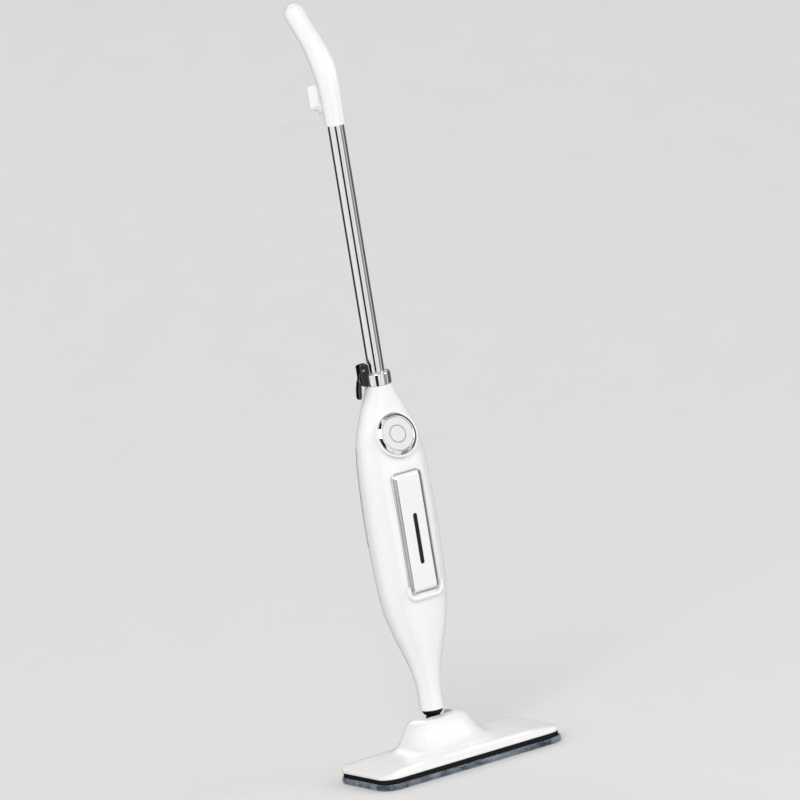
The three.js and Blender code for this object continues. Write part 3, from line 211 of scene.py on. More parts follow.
def settle(piece):
    """Applies the piece's modifiers."""
    graph = bpy.context.evaluated_depsgraph_get()
    mesh = bpy.data.meshes.new_from_object(piece.evaluated_get(graph))
    piece.modifiers.clear()
    piece.data = mesh


def combine(piece, tool, operation="DIFFERENCE", keep=False):
    modifier = piece.modifiers.new("combine", "BOOLEAN")
    modifier.operation = operation
    modifier.solver = "MANIFOLD"
    modifier.object = tool
    settle(piece)
    if not keep:
        bpy.data.objects.remove(tool)
    return piece


def add(piece, *tools):
    for tool in tools:
        combine(piece, tool, "UNION")
    return piece


def cut(piece, *tools):
    for tool in tools:
        combine(piece, tool)
    return piece


def duplicate(piece, name):
    twin = bpy.data.objects.new(name, piece.data.copy())
    bpy.context.scene.collection.objects.link(twin)
    return twin


def soften(piece, width, segments, angle):
    bevel = piece.modifiers.new("soften", "BEVEL")
    bevel.width = width
    bevel.segments = segments
    bevel.limit_method = "ANGLE"
    bevel.angle_limit = math.radians(angle)


def shade(piece, angle=32):
    """Smooth shading, broken where two faces meet at more than the angle."""
    work = bmesh.new()
    work.from_mesh(piece.data)
    for face in work.faces:
        face.smooth = True
    for edge in work.edges:
        edge.smooth = len(edge.link_faces) == 2 and edge.calc_face_angle(0) < math.radians(angle)
    work.to_mesh(piece.data)
    work.free()


def add_finish(piece, material, chosen):
    """Gives the piece's faces whose middle is chosen a second material."""
    piece.data.materials.append(material)
    for polygon in piece.data.polygons:
        polygon.material_index = int(chosen(polygon.center))


def box_middle(node):
    low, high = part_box(node)
    return (low + high) / 2


def length_along(node, axis):
    low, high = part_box(node)
    return max(abs(share * size) for share, size in zip(axis, high - low))


def place_piece(piece, body, slot, *nodes, angle=32, material=None):
    """Shades the piece, gives it its slot's material or the one passed, puts it on its body and hides the
    nodes it stands for.
    """
    shade(piece, angle)
    piece.data.materials.clear()
    piece.data.materials.append(material or SLOT_MATERIALS[slot])
    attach(piece, body)
    if nodes:
        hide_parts(*nodes)
    return piece


# ---- materials ----
# The places of a Mix node's colour sockets, which share their names with its number sockets.
MIX_FIRST, MIX_SECOND, MIX_RESULT = 6, 7, 2


class Nodes:
    """A material's node tree, with a Principled shader and short names for what is added."""

    def __init__(self, name, color, roughness, metallic=0.0):
        self.material = bpy.data.materials.new(name)
        self.material.use_nodes = True
        self.tree = self.material.node_tree
        self.shader = self.tree.nodes["Principled BSDF"]
        self.shader.inputs["Base Color"].default_value = (*color, 1)
        self.shader.inputs["Roughness"].default_value = roughness
        self.shader.inputs["Metallic"].default_value = metallic
        self.place = self.tree.nodes.new("ShaderNodeTexCoord").outputs["Object"]

    def link(self, output, node, socket):
        self.tree.links.new(output, node.inputs[socket])

    def stretched(self, scale):
        mapping = self.tree.nodes.new("ShaderNodeMapping")
        mapping.inputs["Scale"].default_value = scale
        self.link(self.place, mapping, "Vector")
        return mapping.outputs["Vector"]

    def noise(self, scale, detail=4, rough=0.55, vector=None):
        texture = self.tree.nodes.new("ShaderNodeTexNoise")
        texture.inputs["Scale"].default_value = scale
        texture.inputs["Detail"].default_value = detail
        texture.inputs["Roughness"].default_value = rough
        self.link(vector or self.place, texture, "Vector")
        return texture.outputs["Fac"]

    def span(self, value, low, high, start=0.3, end=0.7):
        """The value moved from start..end to low..high."""
        node = self.tree.nodes.new("ShaderNodeMapRange")
        for socket, number in (("From Min", start), ("From Max", end), ("To Min", low), ("To Max", high)):
            node.inputs[socket].default_value = number
        self.link(value, node, "Value")
        return node.outputs["Result"]

    def blend(self, value, first, second):
        """Two colours mixed by the value; each is a tuple or an output."""
        node = self.tree.nodes.new("ShaderNodeMix")
        node.data_type = "RGBA"
        self.link(value, node, "Factor")
        for socket, color in ((MIX_FIRST, first), (MIX_SECOND, second)):
            if isinstance(color, tuple):
                node.inputs[socket].default_value = (*color, 1)
            else:
                self.link(color, node, socket)
        return node.outputs[MIX_RESULT]

    def bump(self, height, strength, distance, below=None):
        node = self.tree.nodes.new("ShaderNodeBump")
        node.inputs["Strength"].default_value = strength
        node.inputs["Distance"].default_value = distance
        self.link(height, node, "Height")
        if below:
            self.link(below, node, "Normal")
        return node.outputs["Normal"]

    def set(self, socket, output):
        self.link(output, self.shader, socket)


def moulded(name, color, roughness, grain=900, depth=0.04, coat=0.0, tint=0.04, shine=0.5):
    """Injection-moulded plastic: faint flow clouds, a fine skin grain and uneven gloss."""
    made = Nodes(name, color, roughness)
    darker = tuple(channel * (1 - tint) for channel in color)
    clouds = made.noise(9, 3)
    made.set("Base Color", made.blend(made.span(clouds, 0, 1), color, darker))
    made.set("Roughness", made.span(made.noise(60, 5), roughness * 0.93, roughness * 1.08))
    skin = made.bump(made.noise(grain, 3), depth, 0.15 * MM)
    ripple = made.bump(made.noise(24, 1), depth * 0.35, 0.3 * MM, skin)
    made.set("Normal", ripple)
    made.shader.inputs["Specular IOR Level"].default_value = shine
    made.shader.inputs["Coat Weight"].default_value = coat
    made.shader.inputs["Coat Roughness"].default_value = 0.08
    return made.material


def plated(name, color, roughness, streak=(1, 1, 0.02)):
    """Polished metal with drawn streaks along one axis and a few dull spots."""
    made = Nodes(name, color, roughness, metallic=1)
    drawn = made.noise(700, 4, vector=made.stretched(streak))
    smudge = made.noise(28, 5)
    made.set("Roughness", made.span(smudge, roughness * 0.7, roughness * 1.5))
    tone = tuple(channel * 0.93 for channel in color)
    made.set("Base Color", made.blend(made.span(drawn, 0, 1), color, tone))
    made.set("Normal", made.bump(drawn, 0.03, 0.05 * MM))
    return made.material


def rubbery(name, color):
    made = Nodes(name, color, 0.75)
    lighter = tuple(channel * 1.35 + 0.004 for channel in color)
    made.set("Base Color", made.blend(made.span(made.noise(120, 5), 0, 1), color, lighter))
    made.set("Roughness", made.span(made.noise(300, 4), 0.6, 0.9))
    made.set("Normal", made.bump(made.noise(1500, 3), 0.2, 0.1 * MM))
    return made.material


def microfibre(name, strand_shade, light):
    """Chenille pile: painted shade between the strands and over dark clumps, pale patches as painted
    highlights on the tips, and a sheen.
    """
    made = Nodes(name, light, 0.95)
    strands = made.noise(420, 6, 0.7)
    clumps = made.noise(75, 3)
    highlight_patches = made.noise(35, 4)
    # The gaps between strands take the darker colour: painted shade.
    fibre = made.blend(made.span(strands, 0, 1, 0.35, 0.65), strand_shade, light)
    # Dark clumps: painted shade.
    shadow = tuple(0.3 * channel for channel in strand_shade)
    fibre = made.blend(made.span(clumps, 0.9, 0, 0.4, 0.54), fibre, shadow)
    # Pale patches: painted highlights on the fibre tips.
    pale = tuple(0.55 * channel + 0.42 for channel in light)
    made.set("Base Color", made.blend(made.span(highlight_patches, 0, 0.55, 0.42, 0.68), fibre, pale))
    made.set("Normal", made.bump(strands, 0.6, 0.5 * MM))
    made.shader.inputs["Sheen Weight"].default_value = 0.5
    made.shader.inputs["Sheen Roughness"].default_value = 0.5
    return made.material


def circuit(name):
    """Green solder mask with traces and a sprinkling of tinned pads."""
    made = Nodes(name, (0.02, 0.16, 0.07), 0.4)
    cells = made.tree.nodes.new("ShaderNodeTexVoronoi")
    cells.inputs["Scale"].default_value = 260
    made.link(made.place, cells, "Vector")
    tracks = made.span(cells.outputs["Distance"], 1, 0, 0.08, 0.16)
    made.set("Base Color", made.blend(tracks, (0.02, 0.16, 0.07), (0.5, 0.45, 0.3)))
    made.set("Roughness", made.span(made.noise(400, 3), 0.3, 0.5))
    made.set("Normal", made.bump(made.noise(500, 3), 0.1, 0.1 * MM))
    return made.material


BUTTON = moulded("button_plastic", (0.72, 0.72, 0.71), 0.38, grain=500, depth=0.08)
# Grey metal given to the tank's side bevels as painted shade on its flanks.
FLANK_SHADE_SILVER = plated("flank_shade_silver", (0.62, 0.63, 0.66), 0.2)
PILE_CLOTH = microfibre("pad_pile", (0.13, 0.18, 0.27), (0.42, 0.50, 0.61))

SLOT_MATERIALS = {
    "white_shell": moulded("white_plastic", (0.88, 0.88, 0.878), 0.26, depth=0.01, coat=0.2, tint=0.015),
    "tank_white": moulded("tank_plastic", (0.87, 0.87, 0.872), 0.22, depth=0.02, coat=0.25, tint=0.02),
    "inner_plastic": moulded("inner_plastic", (0.72, 0.72, 0.7), 0.45, grain=500, depth=0.1),
    "black_plastic": moulded(
        "black_plastic", (0.004, 0.004, 0.005), 0.5, grain=650, depth=0.12, tint=0.3, shine=0.2
    ),
    "grey_plastic": moulded("grey_plastic", (0.3, 0.31, 0.33), 0.42, grain=700, depth=0.08),
    "pad_cloth": microfibre("pad_cloth", (0.085, 0.12, 0.19), (0.25, 0.32, 0.43)),
    "steel": plated("zinc_steel", (0.5, 0.5, 0.51), 0.3, streak=(0.4, 0.4, 1)),
    "bright_chrome": plated("bright_chrome", (0.8, 0.81, 0.82), 0.05),
    "dark_chrome": plated("dark_chrome", (0.09, 0.09, 0.1), 0.16),
    "heater_aluminium": plated("cast_aluminium", (0.55, 0.55, 0.56), 0.45, streak=(1, 1, 1)),
    "circuit_green": circuit("circuit_green"),
    "silicone": moulded("silicone", (0.6, 0.58, 0.52), 0.5, grain=400, depth=0.06, tint=0.1),
    "black_rubber": rubbery("black_rubber", (0.014, 0.014, 0.015)),
    "smoked_window": moulded(
        "smoked_window", (0.004, 0.004, 0.005), 0.08, grain=300, depth=0.01, coat=0.6, tint=0.2
    ),
}


# ---- studio ----
VIEW_TURN = math.radians(30)
VIEW_HEIGHT = math.radians(12)
VIEW_ROLL = math.radians(9.4)
VIEW_ACROSS = 1.2  # width of the frame at the mop
VIEW_DISTANCE = 45  # so far off that the view is all but parallel, as in the photograph
VIEW_CENTRE = (0.0278, 0.4637)  # from the neck, along the view's right and up before the roll
FLOOR_RADIUS, FLOOR_SIDES = 14, 64
MOP_MIDDLE = NECK + Z * 0.45  # what the lights point at


def build_camera():
    back = Vector((
        -math.sin(VIEW_TURN) * math.cos(VIEW_HEIGHT),
        -math.cos(VIEW_TURN) * math.cos(VIEW_HEIGHT),
        math.sin(VIEW_HEIGHT),
    ))
    right = Vector((0, 0, 1)).cross(back).normalized()
    top = back.cross(right)
    aim = NECK + right * VIEW_CENTRE[0] + top * VIEW_CENTRE[1]
    rolled_right = right * math.cos(VIEW_ROLL) - top * math.sin(VIEW_ROLL)
    rolled_top = right * math.sin(VIEW_ROLL) + top * math.cos(VIEW_ROLL)
    turn = Matrix((rolled_right, rolled_top, back)).transposed().to_4x4()
    data = bpy.data.cameras.new("camera")
    data.sensor_width = 36
    data.lens = data.sensor_width * VIEW_DISTANCE / VIEW_ACROSS
    data.clip_end = 80
    camera = bpy.data.objects.new("camera", data)
    camera.matrix_world = Matrix.Translation(aim + back * VIEW_DISTANCE) @ turn
    bpy.context.scene.collection.objects.link(camera)
    bpy.context.scene.camera = camera


def area_light(name, position, size, energy):
    data = bpy.data.lights.new(name, "AREA")
    data.shape = "RECTANGLE"
    data.size, data.size_y = size
    data.energy = energy
    light = bpy.data.objects.new(name, data)
    light.location = position
    aim = MOP_MIDDLE - Vector(position)
    light.rotation_mode = "QUATERNION"
    light.rotation_quaternion = aim.to_track_quat("-Z", "Y")
    bpy.context.scene.collection.objects.link(light)


def build_world():
    """A pale surround; what shines sees it with dark upright bands, as between soft boxes."""
    world = bpy.data.worlds.new("studio")
    world.use_nodes = True
    world.node_tree.nodes.clear()
    new, link = world.node_tree.nodes.new, world.node_tree.links.new
    place = new("ShaderNodeTexCoord").outputs["Generated"]
    parts = new("ShaderNodeSeparateXYZ")
    link(place, parts.inputs[0])
    turn = new("ShaderNodeMath")
    turn.operation = "ARCTAN2"
    link(parts.outputs["Y"], turn.inputs[0])
    link(parts.outputs["X"], turn.inputs[1])
    share = new("ShaderNodeMapRange")
    share.inputs["From Min"].default_value = -math.pi
    share.inputs["From Max"].default_value = math.pi
    link(turn.outputs[0], share.inputs["Value"])
    ramp = new("ShaderNodeValToRGB")
    link(share.outputs["Result"], ramp.inputs["Fac"])
    elements = ramp.color_ramp.elements
    for element, (position, level) in zip(elements, (WORLD_BANDS[0], WORLD_BANDS[-1])):
        element.position, element.color = position, (level, level, level, 1)
    for position, level in WORLD_BANDS[1:-1]:
        elements.new(position).color = (level, level, level, 1)
    around = new("ShaderNodeBackground")
    link(ramp.outputs["Color"], around.inputs["Color"])
    rays = new("ShaderNodeLightPath")
    seen = around
    for ray, level in (("Is Diffuse Ray", 0.6), ("Is Camera Ray", 0.77)):
        plain = new("ShaderNodeBackground")
        plain.inputs["Color"].default_value = (level, level * 0.995, level * 0.985, 1)
        mixed = new("ShaderNodeMixShader")
        link(rays.outputs[ray], mixed.inputs["Fac"])
        link(seen.outputs[0], mixed.inputs[1])
        link(plain.outputs[0], mixed.inputs[2])
        seen = mixed
    link(seen.outputs[0], new("ShaderNodeOutputWorld").inputs["Surface"])
    bpy.context.scene.world = world


# Where round the horizon (0 and 1 are towards -X, 0.25 towards -Y) the surround is how bright.
WORLD_BANDS = [
    (0.0, 1.0),
    (0.055, 1.0), (0.062, 0.8), (0.07, 0.8), (0.075, 1.0), (0.105, 1.0),
    (0.115, 0.02), (0.175, 0.02), (0.185, 1.0), (0.225, 1.0), (0.235, 0.62), (0.25, 1.0),
    (0.31, 1.0), (0.325, 0.33), (0.39, 0.3), (0.40, 0.75), (0.425, 0.75), (0.44, 0.14),
    (0.56, 0.1), (0.60, 0.35), (0.66, 0.35), (0.70, 0.05),
    (0.88, 0.05), (0.90, 1.0), (1.0, 1.0),
]


def build_studio():
    """A pale floor, which polished metal doesn't mirror, and three soft lights."""
    turns = [2 * math.pi * side / FLOOR_SIDES for side in range(FLOOR_SIDES)]
    corners = [(FLOOR_RADIUS * math.cos(turn), FLOOR_RADIUS * math.sin(turn), 0) for turn in turns]
    floor = mesh_piece("studio_floor", corners, [tuple(range(FLOOR_SIDES))])
    made = Nodes("studio_floor", (0.74, 0.74, 0.732), 0.7)
    made.set("Roughness", made.span(made.noise(12, 4), 0.6, 0.8))
    floor.data.materials.append(made.material)
    floor.visible_glossy = False
    area_light("key", (-6.2, -6.6, 7.0), (5.4, 5.4), 540)
    area_light("fill", (6.4, -5.6, 3.6), (5.0, 6.0), 205)
    area_light("rim", (2.0, 7.0, 6.0), (6.4, 4.0), 150)
    bpy.context.scene.view_settings.view_transform = "Standard"


build_camera()
build_world()
build_studio()


# ---- body ----
tube_low, tube_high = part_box("telescopic_tube")
TUBE_R = (tube_high.x - tube_low.x) / 2
THROAT_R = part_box("guide_sleeve")[1].x / MM + 2.7  # in millimetres, as the stations are
# Height above the neck, half width, front depth and back depth, in millimetres.
BODY_STATIONS = [
    (0, 18.9, 18.9, 18.9),
    (30, 18.2, 18.1, 18.1),
    (62, 22.6, 21.8, 22),
    (92, 31.6, 27.5, 28),
    (123, 41.8, 32.4, 33),
    (165, 51.6, 36, 37),
    (225, 56, 37.6, 39),
    (300, 57.2, 37.8, 39.5),
    (365, 55.6, 35.6, 38),
    (400, 53, 32.2, 36.5),
    (430, 48.8, 26.4, 33.5),
    (461, 37.6, THROAT_R + 1.1, 28.5),
    (491, THROAT_R + 4.5, THROAT_R + 0.1, THROAT_R + 2.3),
    (504, THROAT_R, THROAT_R, THROAT_R),
]
BODY_SQUARENESS = 0.35
SHELL_WALL = 2.4 * MM
SPLIT_Y = 16 * MM  # from the body's axis back to where its two shells meet
REAR_FOOT, REAR_HEAD = 104 * MM, 470 * MM  # the rear shell's heights above the neck
POD_HALF = 41 * MM
POD_RELIEF = 1.1 * MM


def spline_at(values, t):
    """A Catmull-Rom curve through evenly spaced values."""
    place = (len(values) - 1) * t
    i = min(int(place), len(values) - 2)
    t = place - i
    before, here = values[max(i - 1, 0)], values[i]
    after, beyond = values[i + 1], values[min(i + 2, len(values) - 1)]
    lead, tail = (after - before) / 2, (beyond - here) / 2
    cubic = (2 * here - 2 * after + lead + tail) * t**3
    return cubic + (-3 * here + 3 * after - 2 * lead - tail) * t**2 + lead * t + here


def body_at(t):
    return [spline_at([station[column] for station in BODY_STATIONS], t) * MM for column in range(4)]


def smooth(low, high, value):
    t = min(max((value - low) / (high - low), 0), 1)
    return t * t * (3 - 2 * t)


def pod_relief(x, height):
    """How far the panel round the tank stands out from the body."""
    half = POD_HALF - 0.06 * abs(height - 0.31)
    side = 1 - smooth(half - 3.5 * MM, half + 3.5 * MM, abs(x))
    return POD_RELIEF * side * smooth(0.15, 0.215, height) * (1 - smooth(0.375, 0.42, height))


def body_ring(t, inset, sides, relief=False):
    height, half_width, front, back = body_at(t)
    power = 2 / (2 + BODY_SQUARENESS * math.sin(math.pi * t))
    ring = []
    for i in range(sides):
        angle = 2 * math.pi * i / sides
        c, s = math.cos(angle), math.sin(angle)
        x = (half_width - inset) * math.copysign(abs(c) ** power, c)
        depth = front if s < 0 else back
        y = (depth - inset) * math.copysign(abs(s) ** power, s)
        if relief and s < 0:
            y -= pod_relief(x, height) * min(-2 * s, 1)
        ring.append(NECK + Vector((x, y, height)))
    return ring


def body_form(name, inset, sides, steps, overrun=0.0, relief=False):
    rings = [body_ring(i / steps, inset, sides, relief) for i in range(steps + 1)]
    if overrun:
        rings.insert(0, [point - Z * overrun for point in rings[0]])
        rings.append([point + Z * overrun for point in rings[-1]])
    return loft(name, rings)


def body_back_at(height):
    steps = 400
    return min((body_at(i / steps) for i in range(steps + 1)), key=lambda found: abs(found[0] - height))[3]


bezel_low, bezel_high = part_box("button_bezel")
button_low, button_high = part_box("power_button")
DIAL_TILT = math.radians(20)
BEZEL_R = (bezel_high.x - bezel_low.x) / 2
BUTTON_R = (button_high.x - button_low.x) / 2
DIAL_OUT = Vector((0, -math.cos(DIAL_TILT), math.sin(DIAL_TILT)))
BUTTON_THICKNESS = 4 * MM
# The middle of the button's face: the middle of its box, moved out by half its thickness.
DIAL = towards((button_low + button_high) / 2 + DIAL_OUT * BUTTON_THICKNESS / 2, DIAL_OUT)

tank_low, tank_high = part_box("water_tank")
TANK_HALF = (tank_high.x - tank_low.x) / 2
TANK_HALF_HEIGHT = (tank_high.z - tank_low.z) / 2
TANK_MIDDLE = (tank_high.z + tank_low.z) / 2
TANK_FACE_Y = tank_low.y
TANK_BACK_Y = tank_high.y - 2 * MM  # the valve's stub reaches past the back wall
TANK_CORNER = 7 * MM
VALVE_RISE = 10 * MM  # the valve's height above the tank's foot
BAY_WALL = 1.6 * MM
bead_low, bead_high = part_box("tank_bead")
BEAD_WIDTH = bead_high.x - tank_high.x - GAP


def tank_block(name, grow, front_y, back_y):
    """A block of the tank's outline, larger by grow, between two planes."""
    place = upright(0, back_y, TANK_MIDDLE)
    levels = [(0, 0), (0, back_y - front_y)]
    return slab(name, TANK_HALF + grow, TANK_HALF_HEIGHT + grow, TANK_CORNER + grow, place, levels)


def dial_disc(name, radius, top, foot):
    corners = [(0, foot), (radius, foot), (radius, top), (0, top)]
    return lathe(name, corners, DIAL)


def tank_lip():
    """The rounded roll that cradles the tank's foot and fades out up its sides."""
    roll = 3.3 * MM
    reach = TANK_HALF + BEAD_WIDTH + GAP + roll * 0.8
    foot = tank_low.z - BEAD_WIDTH - GAP - 6.5 * MM
    bend = TANK_CORNER + 4 * MM
    arm = 9 * MM  # how far the roll runs up each side past its bend
    path = [Vector((-reach, foot + bend + arm))]
    for start, centre in ((1.0, -reach + bend), (1.5, reach - bend)):
        for step in range(13):
            angle = math.pi * (start + 0.5 * step / 12)
            path.append(Vector((centre + bend * math.cos(angle), foot + bend + bend * math.sin(angle))))
    path.append(Vector((reach, foot + bend + arm)))
    rings = []
    front = TANK_FACE_Y - 1.2 * MM
    for i, point in enumerate(path):
        ahead = path[min(i + 1, len(path) - 1)] - path[max(i - 1, 0)]
        outward = Vector((ahead.y, -ahead.x)).normalized()
        ring = []
        for step in range(20):
            angle = 2 * math.pi * step / 20
            side, depth = roll * math.cos(angle), roll * math.sin(angle)
            y = front + roll + depth * (1 if depth < 0 else 4)
            ring.append(Vector((point.x + outward.x * side, y, point.y + outward.y * side)))
        rings.append(ring)
    return loft("lip", rings)


trim_low, trim_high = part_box("side_trim_left")
gland_low, gland_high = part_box("cord_gland")
GLAND = Vector((0, NECK.y, (gland_low.z + gland_high.z) / 2))
GLAND_R = 6 * MM
SCREW_R = 1.7 * MM
SCREW_HEAD_R = 3.4 * MM
SCREW_HEAD_HEIGHT = 2.2 * MM
SHELL_SCREWS = [f"shell_screw_{number}" for number in range(1, 5)]
HEAD_SCREWS = [f"head_screw_{number}" for number in range(1, 5)]
GRIP_SCREWS = [f"grip_screw_{number}" for number in range(1, 4)]


def screw_hole(node, outward):
    """The counterbored hole round a screw, open towards outward."""
    middle = box_middle(node)
    half = length_along(node, outward) / 2
    seat = middle + outward * (half - SCREW_HEAD_HEIGHT - GAP)
    shank = rod("shank", middle - outward * (half + GAP), seat + outward * GAP, SCREW_R + GAP)
    return add(shank, rod("bore", seat, seat + outward * 40 * MM, SCREW_HEAD_R + GAP))


def seam_band(name, sign, proud, depth, grow):
    """A strip of the body's own surface over the line where its two shells meet."""
    band = body_form(name, -proud, 144, 120)
    cut(band, body_form("core", depth, 144, 120, overrun=2 * MM))
    reach = (trim_high.y - trim_low.y) / 2 + grow
    middle = NECK.y + SPLIT_Y
    low = (-FAR if sign < 0 else 0, middle - reach, trim_low.z - grow)
    high = (0 if sign < 0 else FAR, middle + reach, trim_high.z + grow)
    return combine(band, block(low, high), "INTERSECT")


def lower_hook():
    """The fixed cord hook: an arm out of the back wall and a tongue that hangs from it."""
    half, thickness, drop = 8 * MM, 5 * MM, 36 * MM
    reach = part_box("rear_shell")[1].y
    top = NECK.z + 154 * MM
    tongue = slab(
        "tongue", half, drop / 2, 5 * MM, upright(0, reach, top - drop / 2),
        plate_levels(thickness, 1.4 * MM, 1.4 * MM),
    )
    wall = NECK.y + body_back_at(150 * MM) - SHELL_WALL / 2
    arm = slab(
        "arm", half - 2 * MM, 4 * MM, 2.4 * MM, upright(0, reach - thickness / 2, top - 4 * MM),
        [(0, 0), (0, reach - thickness / 2 - wall)],
    )
    return add(tongue, arm)


def build_body():
    """Two thin shells round the tank's bay, with bosses, a dial well, the back's holes, and grooves along
    their seam holding grey strips painted as the shadow in the gap between the shells.
    """
    shell = body_form("front_shell_body", 0, 144, 170, relief=True)
    solid = duplicate(shell, "solid")
    cut(shell, body_form("core", SHELL_WALL, 96, 80, overrun=2 * MM))
    liner = tank_block("liner", GAP + BAY_WALL, TANK_FACE_Y - 20 * MM, TANK_BACK_Y + GAP + BAY_WALL)
    add(shell, combine(liner, solid, "INTERSECT", keep=True))
    add(shell, dial_disc("well", BEZEL_R + GAP + 2 * MM, -3.2 * MM, -8.1 * MM), tank_lip())
    for node in SHELL_SCREWS:
        x, _, z = box_middle(node)
        boss = rod("boss", (x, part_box(node)[0].y - 1 * MM, z), (x, FAR, z), 5 * MM)
        add(shell, combine(boss, solid, "INTERSECT", keep=True))
    bpy.data.objects.remove(solid)
    before = TANK_FACE_Y - 50 * MM
    groove = tank_block("groove", BEAD_WIDTH + 2 * GAP, before, bead_high.y + GAP)
    bay = tank_block("bay", GAP, before, TANK_BACK_Y + GAP)
    cut(shell, groove, bay, dial_disc("clear", BEZEL_R + GAP, 40 * MM, -6.1 * MM))
    valve = Vector((0, TANK_BACK_Y, tank_low.z + VALVE_RISE))
    cut(shell, rod("valve", valve - Y * 3 * MM, valve + Y * 9 * MM, 4 * MM))
    sleeve_foot = Vector((0, NECK.y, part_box("guide_sleeve")[0].z))
    cut(shell, rod("path", sleeve_foot - Z * 250 * MM, sleeve_foot + Z * 4 * MM, 16 * MM))
    cut(shell, *[seam_band("groove", sign, 2 * MM, 1.5 * MM, GAP) for sign in (-1, 1)])
    cut(shell, rod("gland", GLAND, GLAND + Y * 100 * MM, GLAND_R + GAP))
    cut(shell, *[screw_hole(node, Y) for node in SHELL_SCREWS])
    split = NECK.y + SPLIT_Y
    foot, head = NECK.z + REAR_FOOT, NECK.z + REAR_HEAD
    rear = duplicate(shell, "rear_shell_body")
    combine(rear, block((-FAR, split + GAP / 2, foot + GAP / 2), (FAR, FAR, head - GAP / 2)), "INTERSECT")
    add(rear, lower_hook())
    cut(shell, block((-FAR, split - GAP / 2, foot - GAP / 2), (FAR, FAR, head + GAP / 2)))
    place_piece(shell, "wand", "white_shell", "front_shell")
    place_piece(rear, "wand", "white_shell", "rear_shell")
    # Grey strips in the seam grooves; their grey is painted shade, the shadow in the gap where the two
    # shells meet.
    for side, sign in (("left", -1), ("right", 1)):
        trim = seam_band(f"side_trim_{side}_strip", sign, 0.5 * MM, 1.2 * MM, 0)
        place_piece(trim, "wand", "grey_plastic", f"side_trim_{side}")


# ---- tank ----
window_low, window_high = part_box("level_window")


def window_slot(name, grow, front_y, back_y, levels=None):
    half = (window_high.x - window_low.x) / 2 + 0.5 * MM + grow
    half_height = (window_high.z - window_low.z) / 2 - 2 * MM + grow
    middle = (window_low + window_high) / 2
    place = upright(middle.x, back_y, middle.z)
    levels = levels or [(0, 0), (0, back_y - front_y)]
    return slab(name, half, half_height, half - 0.02 * MM, place, levels, corner_steps=16)


def build_tank():
    depth = TANK_BACK_Y - TANK_FACE_Y
    bevel, bevel_depth = 4.6 * MM, 4 * MM
    corners = [
        (2 * MM, 0, 0), (0, 0, 1.5 * MM), (0, depth - bevel_depth, 1.4 * MM),
        (bevel * 0.93, depth - 0.12 * MM, 1.1 * MM), (bevel * 2, depth, 4 * MM), (bevel * 3, depth, 0),
    ]
    tank = slab(
        "water_tank_body", TANK_HALF, TANK_HALF_HEIGHT, TANK_CORNER,
        upright(0, TANK_BACK_Y, TANK_MIDDLE), fillet(corners, steps=6), corner_steps=16,
    )
    wall = 2.2 * MM
    water = slab(
        "water", TANK_HALF - bevel, TANK_HALF_HEIGHT - bevel, 3 * MM,
        upright(0, TANK_BACK_Y - wall, TANK_MIDDLE), [(0, 0), (0, depth - 2 * wall)],
    )
    top = Vector((0, (TANK_FACE_Y + TANK_BACK_Y) / 2, tank_high.z))
    plug_low, plug_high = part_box("tank_plug")
    plug_r = (plug_high.x - plug_low.x) / 2
    filler = rod("filler", top - Z * 8.2 * MM, top + Z * MM, plug_r + GAP)
    valve = Vector((0, tank_high.y, tank_low.z + VALVE_RISE))
    stub = rod("stub", valve - Y * 3 * MM, valve, 3.4 * MM, 0.4 * MM)
    port = rod("port", valve - Y * 5 * MM, valve + Y * MM, 1.6 * MM)
    slot = window_slot("slot", GAP, TANK_FACE_Y - 2 * MM, TANK_FACE_Y + wall + 1 * MM)
    add(tank, stub)
    cut(tank, water, filler, port, slot)
    place_piece(tank, "tank", "tank_white", "water_tank")

    def on_shaded_side_bevel(point):
        inset = TANK_HALF - abs(point.x)
        on_side = inset < bevel and inset < TANK_HALF_HEIGHT - abs(point.z - TANK_MIDDLE)
        return on_side and TANK_FACE_Y + 0.5 * MM < point.y < TANK_FACE_Y + bevel_depth

    # The side bevels get the grey metal: painted shade that darkens the tank's flanks.
    add_finish(tank, FLANK_SHADE_SILVER, on_shaded_side_bevel)
    levels = plate_levels(window_high.y - window_low.y, 0.2 * MM, 0.5 * MM)
    window = window_slot("level_window_lens", 0, window_low.y, window_high.y, levels)
    place_piece(window, "tank", "smoked_window", "level_window")
    thickness = plug_high.z - plug_low.z
    neck_r, rim, dish = plug_r - 1.2 * MM, thickness - 2.2 * MM, thickness - 0.9 * MM
    corners = [
        (0, 0, 0), (neck_r, 0, 0.5 * MM), (neck_r, rim, 0), (plug_r, rim, 0.3 * MM),
        (plug_r, thickness, 0.6 * MM), (plug_r * 0.6, thickness - 0.1 * MM, 0.4 * MM),
        (plug_r * 0.5, dish, 0.4 * MM), (0, dish, 0),
    ]
    plug = turned("tank_plug_cap", corners, Matrix.Translation((0, box_middle("tank_plug").y, plug_low.z)))
    place_piece(plug, "tank", "black_rubber", "tank_plug")


def build_bead():
    """The bright moulding round the tank: one rounded section carried round its outline."""
    depth = bead_high.y - bead_low.y
    edge = 0.8 * MM
    section = fillet([(0, 0, 0), (0, depth, edge), (-BEAD_WIDTH, depth, edge), (-BEAD_WIDTH, 0, 0)], steps=6)
    bead = slab(
        "tank_bead_moulding", TANK_HALF + GAP, TANK_HALF_HEIGHT + GAP, TANK_CORNER + GAP,
        upright(0, bead_high.y, TANK_MIDDLE), section, corner_steps=14, closed=True,
    )
    place_piece(bead, "wand", "bright_chrome", "tank_bead")


